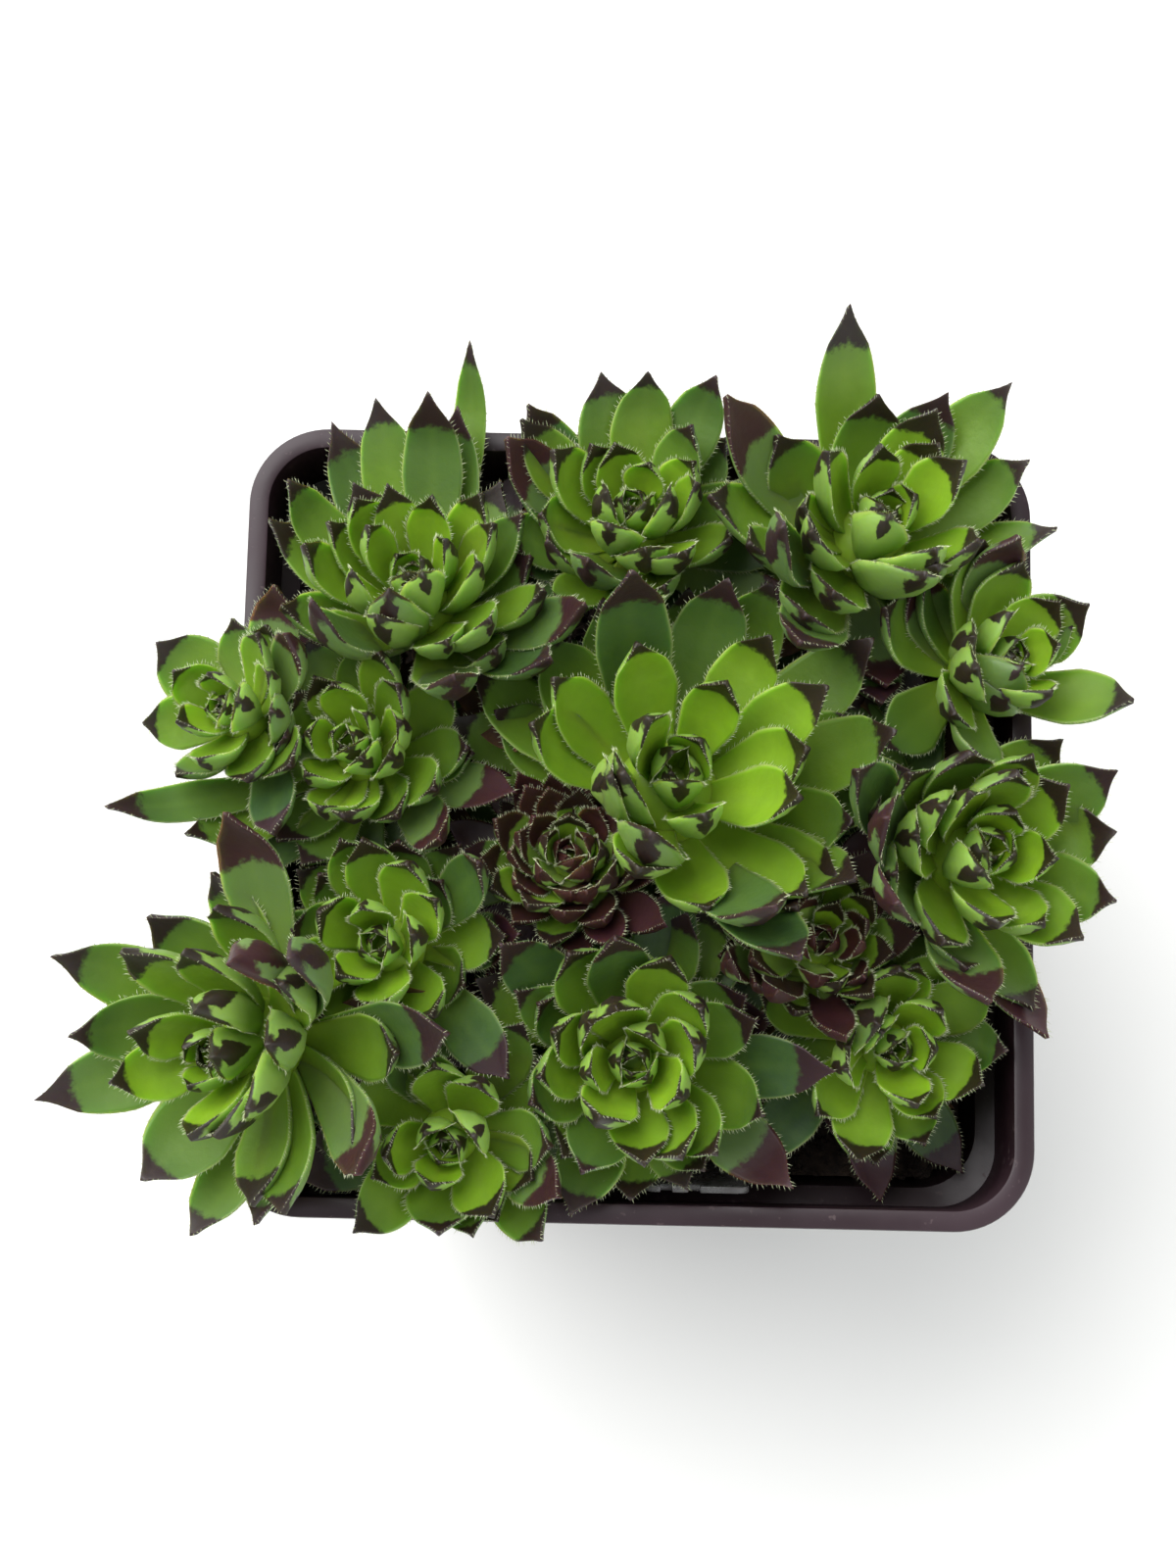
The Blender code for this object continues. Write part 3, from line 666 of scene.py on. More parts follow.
# Leans are compass angles from +X towards +Y; a stray is (compass, pitch, length, share of width)
# The higher the closed value, the longer a head's leaves stay upright as they age
HEADS = (
    Head("head_back_left", (-25.1, 25.4, 92), 105, 22, 19, 7.0, 19, 74, (-25, 22), 20,
         strays=((84, 47, 27, 1.0), (104, 50, 26, 1.0), (74, 60, 33, 0.65), (156, 59, 21, 1.0),
                 (145, 52, 23, 0.9), (178, 77, 16, 1.0), (16, 56, 15, 1.0), (76, 56, 25, 1.0))),
    Head("head_back_middle", (-1.0, 33.9, 90), 92, 16, 16, 7.2, 15, 74, (-1, 29), 60,
         strays=((103, 55, 20, 1.1), (86, 61, 20, 1.0), (61, 64, 22, 1.0), (6, 54, 15, 1.0),
                 (145, 48, 20, 0.95), (50, 38, 17, 1.0), (167, 59, 15, 0.9))),
    Head("head_back_right", (27.0, 33.4, 92), 50, 20, 21, 8.6, 16, 82, (25, 28), 110,
         strays=((103, 62, 29, 0.9), (52, 54, 27, 0.95), (27, 53, 23, 0.9), (1, 58, 23, 0.8),
                 (328, 64, 19, 0.8), (94, 40, 20, 1.0), (145, 50, 18, 1.0), (67, 45, 22, 1.0))),
    Head("head_left", (-31.6, 6.7, 90), 150, 14, 15, 6.4, 14, 72, (-27, 7), 40,
         strays=((198, 73, 31, 0.8), (211, 79, 23, 1.0), (136, 28, 14, 1.0), (135, 58, 19, 0.9),
                 (1, 76, 13, 1.0), (33, 70, 13, 1.0))),
    Head("head_left_outer", (-45.5, 9.8, 91), 172, 26, 12, 6.4, 10, 76, (-34, 12), 80,
         strays=((135, 56, 14, 1.25),)),
    Head("head_centre", (4.4, 3.1, 97), 55, 9, 26, 8.8, 22, 86, (4, 1), 150, closed=0.8,
         strays=((158, 65, 21, 1.0), (135, 61, 23, 1.0), (112, 64, 24, 1.0), (78, 58, 27, 1.0),
                 (63, 67, 28, 1.0), (36, 65, 30, 1.0), (15, 57, 29, 1.0), (4, 71, 29, 1.0),
                 (345, 60, 24, 1.0), (281, 55, 11, 1.0))),
    Head("head_right_outer", (41.4, 18.0, 89), 12, 30, 15, 7.6, 10, 78, (34, 17), 10,
         strays=((42, 37, 17, 1.1), (335, 47, 20, 1.0), (260, 26, 11, 1.0), (243, 6, 13, 1.0),
                 (225, 92, 14, 1.0))),
    Head("head_right", (38.2, -3.9, 92), 0, 20, 19, 8.2, 15, 80, (32, -4), 75,
         strays=((31, 56, 22, 1.1), (340, 60, 21, 1.0), (67, 41, 16, 1.0), (294, 76, 20, 1.0),
                 (117, 58, 12, 1.0))),
    Head("head_small_centre", (-7.2, -5.2, 89.5), 100, 10, 12.5, 4.8, 24, 66, (-8, -7), 30),
    Head("head_front_left", (-27.6, -15.6, 90.5), 190, 10, 16, 6.8, 13, 72, (-25, -15), 95,
         strays=((80, 55, 14, 1.0), (169, 41, 14, 1.1), (217, 50, 14, 1.1), (262, 56, 14, 1.1),
                 (332, 61, 11, 1.0), (47, 49, 12, 1.0), (132, 51, 13, 1.0))),
    Head("head_front_left_outer", (-44.5, -28.3, 95), 205, 34, 21, 8.0, 15, 80, (-33, -25), 15,
         strays=((197, 50, 27, 1.0), (158, 55, 26, 1.0), (172, 42, 23, 1.0), (127, 60, 19, 1.0),
                 (111, 79, 19, 1.0), (100, 92, 15, 1.0), (261, 65, 23, 1.0), (275, 72, 20, 1.0),
                 (237, 50, 21, 1.2))),
    Head("head_front", (0.1, -27.8, 91), 262, 8, 18, 7.6, 17, 76, (0, -25), 55,
         strays=((94, 52, 15, 1.05), (149, 58, 15, 1.0), (171, 68, 19, 1.0), (204, 55, 17, 1.0),
                 (250, 48, 16, 1.05), (342, 59, 18, 1.0), (307, 59, 16, 1.0), (61, 77, 19, 1.0),
                 (33, 69, 15, 1.0), (248, 74, 19, 1.0), (271, 72, 16, 1.0))),
    Head("head_front_outer", (-19.6, -37.0, 88), 255, 16, 14, 7.2, 11, 78, (-18, -31), 125,
         strays=((225, 65, 17, 1.0), (265, 61, 14, 1.2), (304, 64, 12, 1.0), (318, 71, 17, 1.0),
                 (184, 73, 16, 0.9))),
    Head("head_small_right", (20.4, -13.6, 88), 60, 10, 13, 4.8, 16, 74, (20, -15), 70,
         strays=((286, 112, 22, 0.9), (205, 65, 12, 1.0))),
    Head("head_front_right", (29.1, -25.3, 85), 320, 16, 15, 6.8, 12, 78, (27, -24), 5,
         strays=((0, 51, 16, 1.0), (292, 54, 14, 1.0), (58, 55, 15, 1.0), (248, 91, 11, 1.0))),
)
print("rosettes:", len(HEADS))

# %% [markdown]
# The room rule is tested with plain eight-cornered leaves, since only their outer shape
# matters. Each one is bent in many small ways, and the first way that stays clear of the rim,
# the soil and its neighbours is kept. A physics simulation could push the leaves apart too,
# but it would give another answer each time something small changed.

# %% Room for each leaf
WIDEST_AT = 0.64
SHOULDER_POWER = 0.55
TIP_POWER = 0.75
LEAF_RINGS = 3
FLESH = 2.3
FLESH_A_LENGTH = 0.13
FLESH_AT_LEAST = 0.3
FOOT_FLESH = 0.35
FLESH_START = 0.18
FLESH_ABOVE = 0.1
YOUNG_CUP = 0.42
CUP_LOST = 0.2
GOLDEN_ANGLE = 137.508
TURN_DRAW = 6
BUD_PITCH = 16
PITCH_DRAW = 4
YOUNG_LENGTH = 0.6
FULL_AGE = 0.6
LENGTH_POWER = 0.9
LENGTH_DRAW = (0.93, 1.05)
WIDTH_POWER = 0.7
WIDTH_DRAW = (0.93, 1.07)
FOOT_RISE = 0.1
FOOT_FALL = 0.3
FOOT_OUT = 0.06
LEAF_MARGIN = 0.3
RIM_MARGIN = 0.5
SOIL_MARGIN = 0.5
EDGE_SHARES = (0, 0.2, 0.4)
PITCH_BENDS = (0, -6, 6, -12, 12, -18, -24, -32, -40)
SIDE_BENDS = (0, -7, 7, -14, 14)
LENGTH_SHARES = (1.0, 0.93, 0.86, 0.78, 0.7, 0.6, 0.5)
PITCH_COST = 12
SIDE_COST = 10
LENGTH_COST = 0.1
LEAST_PITCH = 8
YOUNG_AGE = 0.45
SMALL_REACH = 15.5
STRAY_TURN = 15
STRAY_PITCH = 24


class Leaf(NamedTuple):
    """One leaf of a head: its age is 0 in the bud and 1 at the outside, or low between heads."""
    axis: np.ndarray
    foot: np.ndarray
    compass: float
    pitch: float
    length: float
    width: float
    curl: float
    age: float
    stray: bool = False
    low: bool = False


def unit(vector):
    """Vector of length one."""
    return vector / np.linalg.norm(vector)


def head_axis(head):
    """Direction that a head's middle points in."""
    lean = radians(head.lean)
    tilt = radians(head.tilt)
    return np.array((sin(tilt) * cos(lean), sin(tilt) * sin(lean), cos(tilt)))


def head_crown(head):
    """Point on the axis that the leaves grow from."""
    return np.array(head.bud) - head_axis(head) * head.reach * BUD_SHARE


def head_sides(axis):
    """Two directions square to a head's axis; the first one is nearest to +X."""
    east = unit(np.array((1.0, 0.0, 0.0)) - axis * axis[0])
    return east, np.cross(axis, east)


def most_flesh(length):
    """Thickness of a leaf of some length, where it is fleshiest."""
    return min(FLESH, FLESH_A_LENGTH * length + FLESH_AT_LEAST)


def leaf_surface(leaf, side, face, u, margin=0.0):
    """Points of a plain leaf: side is -1 to 1 across, face 1 above and -1 below."""
    east, north = head_sides(leaf.axis)
    out = east * cos(leaf.compass) + north * sin(leaf.compass)
    across = np.cross(leaf.axis, out)
    start = leaf.pitch + leaf.curl / 2
    here = start - leaf.curl * u
    run = leaf.length / leaf.curl
    past = np.clip((u - WIDEST_AT) / (1 - WIDEST_AT), 0, 1)
    outline = (np.minimum(u, WIDEST_AT) / WIDEST_AT) ** SHOULDER_POWER * (1 - past ** 2) ** TIP_POWER
    half = leaf.width / 2 * outline
    swell = FOOT_FLESH + (1 - FOOT_FLESH) * np.sin(pi * (FLESH_START + (1 - FLESH_START) * u))
    thick = most_flesh(leaf.length) * swell + margin
    share = np.where(face > 0, FLESH_ABOVE, 1 - FLESH_ABOVE)
    cup = YOUNG_CUP - CUP_LOST * leaf.age
    lift = half * cup * np.abs(side) + thick * share * face + margin * face
    up = run * (sin(start) - np.sin(here)) + lift * np.sin(here)
    away = run * (np.cos(here) - cos(start)) - lift * np.cos(here)
    sideways = (half + margin) * side
    return leaf.foot + np.outer(up, leaf.axis) + np.outer(away, out) + np.outer(sideways, across)


def leaf_template():
    """Four sided sphere whose poles become a leaf's foot and tip."""
    bm = bmesh.new()
    bmesh.ops.create_uvsphere(bm, u_segments=4, v_segments=LEAF_RINGS + 1, radius=1.0)
    return bm


def template_places():
    """Side, face and length share of each of the template's points, and its faces."""
    bm = leaf_template()
    points = np.array([tuple(vert.co) for vert in bm.verts])
    faces = [[vert.index for vert in face.verts] for face in bm.faces]
    bm.free()
    share = np.arccos(np.clip(-points[:, 2], -1, 1)) / pi
    along = 0.5 * (share + np.sin(share * pi / 2))
    level = np.maximum(np.hypot(points[:, 0], points[:, 1]), 1e-6)
    side = np.round(points[:, 0] / level)
    face = np.round(points[:, 1] / level)
    pole = (share < 0.01) | (share > 0.99)
    side[pole] = 0
    face[pole] = 0
    return side, face, along, faces


SIDES, FACES, ALONG, POLYGONS = template_places()


def bmesh_tree(bm):
    """Search tree of a bmesh, which is freed."""
    tree = BVHTree.FromBMesh(bm)
    bm.free()
    return tree


def leaf_bmesh(leaf):
    """Closed plain solid of one leaf."""
    bm = leaf_template()
    for vert, point in zip(bm.verts, leaf_surface(leaf, SIDES, FACES, ALONG)):
        vert.co = Vector(point) * MM
    return bm


def core_bmesh(head):
    """Small egg at the crown, which the leaves stand out of."""
    bm = bmesh.new()
    bmesh.ops.create_uvsphere(bm, u_segments=CORE_SIDES, v_segments=CORE_RINGS,
                              radius=head.reach * CORE_SHARE * MM)
    bmesh.ops.scale(bm, verts=bm.verts, vec=(1, 1, CORE_STRETCH))
    turn = Vector((0, 0, 1)).rotation_difference(Vector(head_axis(head))).to_matrix()
    bmesh.ops.rotate(bm, verts=bm.verts, matrix=turn)
    bmesh.ops.translate(bm, verts=bm.verts, vec=Vector(head_crown(head)) * MM)
    return bm


def stem_radius(head):
    """Half the thickness of a head's stem."""
    return max(LEAST_STEM, head.reach * STEM_SHARE)


def stem_bmesh(head):
    """Stem from the crown into the soil, wider by the gap round it."""
    top = Vector(head_crown(head))
    foot = Vector((*head.stem_foot, SOIL_TOP - STEM_DEPTH - GAP))
    radius = (stem_radius(head) + GAP) * MM
    bm = bmesh.new()
    bmesh.ops.create_cone(bm, cap_ends=True, segments=STEM_SIDES, radius1=radius,
                          radius2=radius, depth=(top - foot).length * MM)
    turn = Vector((0, 0, 1)).rotation_difference(top - foot).to_matrix()
    bmesh.ops.rotate(bm, verts=bm.verts, matrix=turn)
    bmesh.ops.translate(bm, verts=bm.verts, vec=(top + foot) / 2 * MM)
    return bm


def label_bmesh():
    """Plain blade where the label stands, wider by the gap."""
    foot = Vector((0, *LABEL_FOOT))
    top = Vector((0, *LABEL_TOP))
    bm = bmesh.new()
    bmesh.ops.create_cube(bm, size=1.0)
    size = (LABEL_WIDTH, LABEL_THICKNESS, (top - foot).length)
    bmesh.ops.scale(bm, verts=bm.verts, vec=[(length + 2 * GAP) * MM for length in size])
    turn = Vector((0, 0, 1)).rotation_difference(top - foot).to_matrix()
    bmesh.ops.rotate(bm, verts=bm.verts, matrix=turn)
    bmesh.ops.translate(bm, verts=bm.verts, vec=(foot.lerp(top, 0.5) + Vector((LABEL_MIDDLE_X, 0, 0))) * MM)
    return bm


def rim_distance(points):
    """Distance of points outside the rim's outer outline, seen from above."""
    corner = np.abs(points[:, :2]) - (RIM_HALF - RIM_RADIUS)
    outside = np.linalg.norm(np.maximum(corner, 0), axis=1)
    inside = np.minimum(np.max(corner, axis=1), 0)
    return outside + inside - RIM_RADIUS


def clear_of_pot(points):
    """True where a leaf's points, and those between them, are clear of the soil and the pot."""
    starts = np.array([face[i - 1] for face in POLYGONS for i in range(len(face))])
    ends = np.array([face[i] for face in POLYGONS for i in range(len(face))])
    steps = [points[starts] * (1 - step) + points[ends] * step for step in EDGE_SHARES]
    samples = np.concatenate(steps)
    distance = rim_distance(samples)
    over_wall = (distance > -RIM_WIDTH - RIM_MARGIN) & (distance < RIM_MARGIN)
    if np.any(over_wall & (samples[:, 2] < POT_HEIGHT + RIM_MARGIN)):
        return False
    return not np.any((distance < 0) & (samples[:, 2] < SOIL_TOP + SOIL_MARGIN))


def bends():
    """Every way to bend a leaf clear, from the least change to the greatest."""
    ways = []
    for pitch in PITCH_BENDS:
        for side in SIDE_BENDS:
            for share in LENGTH_SHARES:
                cost = abs(pitch) / PITCH_COST + abs(side) / SIDE_COST + (1 - share) / LENGTH_COST
                ways.append((cost, radians(pitch), radians(side), share))
    return sorted(ways)


def bend_clear(leaf, obstacles, margin):
    """The leaf with the least bend that keeps it clear of the obstacles, or None."""
    for _, pitch, side, share in bends():
        if leaf.pitch + pitch < radians(LEAST_PITCH):
            continue
        trial = leaf._replace(pitch=leaf.pitch + pitch, compass=leaf.compass + side,
                              length=leaf.length * share)
        points = leaf_surface(trial, SIDES, FACES, ALONG, margin)
        if not clear_of_pot(points):
            continue
        tree = BVHTree.FromPolygons([Vector(point) * MM for point in points], POLYGONS)
        if not any(tree.overlap(obstacle) for obstacle in obstacles):
            return trial
    return None


def beside_stray(head, compass, pitch):
    """True where one of the head's strays already fills a place in its spiral."""
    for stray in head.strays:
        turn = (compass - stray[0] + 180) % 360 - 180
        if abs(turn) < STRAY_TURN and abs(pitch - stray[1]) < STRAY_PITCH:
            return True
    return False


def leaf_pitch(head, age):
    """How far a leaf of some age leans out from the head's axis, in degrees."""
    return BUD_PITCH + (head.spread - BUD_PITCH) * age ** head.closed


def leaf_length(head, age):
    """Length of a leaf of some age."""
    grown = YOUNG_LENGTH + (1 - YOUNG_LENGTH) * min(1, age / FULL_AGE) ** LENGTH_POWER
    return head.reach * grown


def wanted_leaves(head):
    """The leaves of a head before any is bent: the spiral that they grow in, and the strays."""
    axis = head_axis(head)
    crown = head_crown(head)
    draw = random.Random(head.name)
    east, north = head_sides(axis)
    leaves = []
    for index in range(head.leaves + len(head.strays)):
        age = min(1.0, index / (head.leaves - 1))
        if index < head.leaves:
            compass = head.turn + index * GOLDEN_ANGLE + draw.uniform(-TURN_DRAW, TURN_DRAW)
            pitch = leaf_pitch(head, age) + draw.uniform(-PITCH_DRAW, PITCH_DRAW)
            length = leaf_length(head, age) * draw.uniform(*LENGTH_DRAW)
            width = head.width * (length / head.reach) ** WIDTH_POWER * draw.uniform(*WIDTH_DRAW)
            if age > YOUNG_AGE and beside_stray(head, compass, pitch):
                continue
        else:
            compass, pitch, length, share = head.strays[index - head.leaves]
            width = head.width * share
        compass = radians(compass)
        out = east * cos(compass) + north * sin(compass)
        foot = crown + (axis * (FOOT_RISE - FOOT_FALL * age) + out * FOOT_OUT) * head.reach
        leaves.append(Leaf(axis, foot, compass, radians(pitch), length, width,
                           radians(head.curl), age, index >= head.leaves))
    return leaves


def place_leaves():
    """Leaves of every head: buds first, then the strays, then the rest from young to old."""
    queue = []
    for head in HEADS:
        for index, leaf in enumerate(wanted_leaves(head)):
            stage = 2 - leaf.stray
            if leaf.age < YOUNG_AGE or head.reach < SMALL_REACH:
                stage = 0
            queue.append((stage, leaf.age, head.name, index, leaf))
    queue.sort(key=lambda entry: entry[:4])
    trees = {}
    for head in HEADS:
        trees[head.name] = [bmesh_tree(stem_bmesh(head)), bmesh_tree(core_bmesh(head))]
    trees["plant_label"] = [bmesh_tree(label_bmesh())]
    placed = {head.name: [] for head in HEADS}
    for _, _, name, _, leaf in queue:
        add_leaf(placed, trees, name, leaf, LEAF_MARGIN)
    return placed, trees


def add_leaf(placed, trees, name, leaf, margin):
    """Place a leaf where it is clear of the other heads, if it can be."""
    obstacles = [tree for other, group in trees.items() if other != name for tree in group]
    leaf = bend_clear(leaf, obstacles, margin)
    if leaf:
        placed[name].append(leaf)
        trees[name].append(bmesh_tree(leaf_bmesh(leaf)))


placed, leaf_trees = place_leaves()
print("leaves of the solids:", sum(len(leaves) for leaves in placed.values()))

# %% [markdown]
# The solids hold the leaves that make the form, as few as will do. The real clump is fuller:
# between each pair of leaves sits another, the oldest leaves fill the hollows between the
# heads, the heart of a rosette is a bud of small leaves pressed together, and withered leaves
# hang round the stem. All follow the same spiral, so they are drawn with the same numbers. The
# leaves between and the oldest leaves are bent clear by the same rule; withered leaves that
# would meet the pot are left out.

# %% Leaves between the leaves
FILLER_TURN = 111
FILLER_LENGTH = 0.93
FILLER_AGE = 0.3
OLD_TURN = 26
OLD_LENGTH = 1.3
OLD_WIDTH = 0.95
OLD_PITCH = (72, 98)
OLD_SHARE = 0.8
FILLER_AGE_OUT = 0.4
FILLER_REACH_OUT = 1.0
CROWD_TURN = radians(13)
CROWD_PITCH = radians(8)
BUD_LEAVES = 5
WITHERED_LEAVES = 9


def spiral_leaf(head, age, compass, pitch, length, width):
    """One more leaf of a head, its angles given in degrees."""
    axis = head_axis(head)
    east, north = head_sides(axis)
    out = east * cos(radians(compass)) + north * sin(radians(compass))
    foot = head_crown(head) + (axis * (FOOT_RISE - FOOT_FALL * age) + out * FOOT_OUT) * head.reach
    return Leaf(axis, foot, radians(compass), radians(pitch), length, width, radians(head.curl), age)


def filler_leaves(head):
    """Leaves between the wanted ones, from the bud outwards."""
    draw = random.Random(head.name + " filler")
    leaves = []
    for index in range(head.leaves):
        age = min(1.0, (index + 0.5) / (head.leaves - 1))
        if age < FILLER_AGE:
            continue
        length = leaf_length(head, age) * FILLER_LENGTH * draw.uniform(*LENGTH_DRAW)
        leaves.append(spiral_leaf(
            head, age, head.turn + index * GOLDEN_ANGLE + FILLER_TURN + draw.uniform(-9, 9),
            leaf_pitch(head, age) + draw.uniform(-6, 6), length,
            head.width * (length / head.reach) ** WIDTH_POWER * draw.uniform(*WIDTH_DRAW)))
    return leaves


def old_leaves(head):
    """The oldest leaves, low down in the hollows between the heads."""
    draw = random.Random(head.name + " old")
    leaves = []
    for index in range(round(head.leaves * OLD_SHARE)):
        leaves.append(spiral_leaf(
            head, 1.0, head.turn + index * GOLDEN_ANGLE + OLD_TURN, draw.uniform(*OLD_PITCH),
            head.reach * OLD_LENGTH * draw.uniform(*LENGTH_DRAW),
            head.width * OLD_WIDTH)._replace(low=True))
    return leaves


def leans_out(leaf):
    """True where an old leaf would reach over the rim, where the photograph shows gaps."""
    tip = leaf_surface(leaf, np.zeros(1), np.zeros(1), np.ones(1))
    return leaf.age > FILLER_AGE_OUT and rim_distance(tip)[0] > FILLER_REACH_OUT


def crowds(leaf, others):
    """True where a leaf would lie in one that its head already has."""
    for other in others:
        turn = (leaf.compass - other.compass + pi) % (2 * pi) - pi
        if abs(turn) < CROWD_TURN and abs(leaf.pitch - other.pitch) < CROWD_PITCH:
            return True
    return False


def fill_heads(placed, trees):
    """Place the fillers from young to old, then the oldest leaves."""
    queue = []
    for head in HEADS:
        for index, leaf in enumerate(filler_leaves(head)):
            queue.append((0, leaf.age, head.name, index, leaf))
        for index, leaf in enumerate(old_leaves(head)):
            queue.append((1, index, head.name, index, leaf))
    queue.sort(key=lambda entry: entry[:4])
    for _, _, name, _, leaf in queue:
        if not leans_out(leaf) and not crowds(leaf, placed[name]):
            add_leaf(placed, trees, name, leaf, 0.0)


fill_heads(placed, leaf_trees)
print("leaves with the fillers:", sum(len(leaves) for leaves in placed.values()))


# %% Bud leaves and withered leaves


def bud_leaves(head):
    """Small upright leaves inside a head's youngest ring."""
    axis = head_axis(head)
    east, north = head_sides(axis)
    draw = random.Random(head.name + " bud")
    leaves = []
    for index in range(BUD_LEAVES):
        share = (index + 0.5) / BUD_LEAVES
        compass = radians(head.turn + 68 + index * GOLDEN_ANGLE)
        out = east * cos(compass) + north * sin(compass)
        foot = head_crown(head) + (axis * 0.14 + out * 0.02) * head.reach
        length = head.reach * (0.27 + 0.17 * share) * draw.uniform(0.95, 1.05)
        leaves.append(Leaf(axis, foot, compass, radians(3 + 12 * share), length,
                           head.width * (0.5 + 0.2 * share), radians(head.curl + 8), 0.0))
    return leaves


def withered_leaves(head):
    """Dry leaves that hang down round a head's stem."""
    axis = head_axis(head)
    east, north = head_sides(axis)
    draw = random.Random(head.name + " withered")
    leaves = []
    for index in range(WITHERED_LEAVES):
        compass = radians(head.turn + index * GOLDEN_ANGLE + draw.uniform(-20, 20))
        out = east * cos(compass) + north * sin(compass)
        foot = head_crown(head) + (out * 0.05 - axis * (0.26 + 0.05 * index)) * head.reach
        leaf = Leaf(axis, foot, compass, radians(draw.uniform(84, 116)),
                    head.reach * draw.uniform(0.6, 1.0), head.width * draw.uniform(0.4, 0.7),
                    radians(draw.uniform(30, 75)), 1.0)
        if clear_of_pot(leaf_surface(leaf, SIDES, FACES, ALONG)):
            leaves.append(leaf)
    return leaves


print("bud leaves a head:", BUD_LEAVES)

# %% [markdown]
# Each rosette is grown by one Geometry Nodes tree. It is given a cloud of points, one a leaf,
# that carry the leaf's numbers. The tree puts a sphere on each point and bends it by the leaf's
# formula: a curved midrib, a fleshy back, a hollowed face and a small hard point at the tip. A
# leaf could be modelled once and copied, but then every leaf would have the same curve, where
# the real ones flatten and stretch with age. A second branch sets short hairs along each
# margin, and a third draws the stem.

# %% Leaf numbers as points
VECTOR_NUMBERS = ("foot", "axis", "out")
PLAIN_NUMBERS = ("length", "width", "thick", "pitch", "curl", "hook", "sway", "roll", "taper",
                 "age", "tint", "patch", "dry")
KEPT_NUMBERS = ("along", "side", "face", "age", "tint", "patch", "dry")
TIP_PATCHES = {"head_small_centre": 0.36, "head_small_right": 0.3, "head_centre": 0.12}
TIP_PATCH = 0.15
LOW_PATCH = 1.8
RED_PATCH = (0.24, 0.34)
TIP_HOOK = (0.0, 0.09)
TIP_SWAY = 0.05
LEAF_ROLL = 0.3
BLUNT_HEADS = ("head_centre",)
BLUNT_TAPER = 0.62
LEAF_TAPER = (0.7, 1.0)
HIGH_TINT = (0.0, 0.7)
# Low leaves get a high tint: their darker blue-green is partly age colour and partly painted shade.
LOW_TINT_AND_SHADE = (0.7, 1.0)


def leaf_numbers(head, leaves, dry):
    """One row of numbers for each leaf, lengths in metres."""
    draw = random.Random(head.name + " tint")
    rows = []
    for leaf in leaves:
        east, north = head_sides(leaf.axis)
        rows.append({
            "foot": leaf.foot * MM,
            "axis": leaf.axis,
            "out": east * cos(leaf.compass) + north * sin(leaf.compass),
            "length": leaf.length * MM,
            "width": leaf.width * MM,
            "thick": most_flesh(leaf.length) * MM * (0.35 if dry else 1.0),
            "pitch": leaf.pitch,
            "curl": leaf.curl,
            "hook": draw.uniform(*TIP_HOOK),
            "sway": draw.uniform(-TIP_SWAY, TIP_SWAY),
            "roll": draw.uniform(-LEAF_ROLL, LEAF_ROLL) * leaf.age,
            "taper": BLUNT_TAPER if head.name in BLUNT_HEADS else draw.uniform(*LEAF_TAPER),
            "age": leaf.age,
            # Tint: a random tone, drawn high for the low leaves between heads, whose darkening is partly
            # painted shade.
            "tint": draw.uniform(*LOW_TINT_AND_SHADE) if leaf.low else draw.uniform(*HIGH_TINT),
            "patch": TIP_PATCHES.get(head.name, TIP_PATCH) * draw.uniform(0.6, 1.35)
                     * (LOW_PATCH if leaf.low else 1.0),
            "dry": dry,
        })
    return rows


def point_cloud(name, rows):
    """Object with one bare point for each row, which carries the row's numbers."""
    mesh = bpy.data.meshes.new(name)
    mesh.from_pydata([tuple(row["foot"]) for row in rows], [], [])
    for label in VECTOR_NUMBERS:
        values = np.array([row[label] for row in rows], dtype=np.float32)
        mesh.attributes.new(label, "FLOAT_VECTOR", "POINT").data.foreach_set("vector", values.ravel())
    for label in PLAIN_NUMBERS:
        values = np.array([row[label] for row in rows], dtype=np.float32)
        mesh.attributes.new(label, "FLOAT", "POINT").data.foreach_set("value", values)
    return new_piece(name, mesh)


print("numbers carried by a leaf:", len(VECTOR_NUMBERS) + len(PLAIN_NUMBERS))


# %% Tree that bends a leaf
FINE_WIDEST_AT = 0.6
FINE_SHOULDER_POWER = 0.6
TIP_CURVE = 1.9
CUSP_START = 0.55
CUSP_HOLLOW = 0.55
SECTION_POWER = 1.15
CUP_POWER = 1.6
HOOK_START = 0.72

def named(tree, name, data_type="FLOAT"):
    """Named Attribute node's value."""
    node = add_node(tree, "GeometryNodeInputNamedAttribute", data_type=data_type)
    node.inputs["Name"].default_value = name
    return Field(tree, node.outputs["Attribute"])


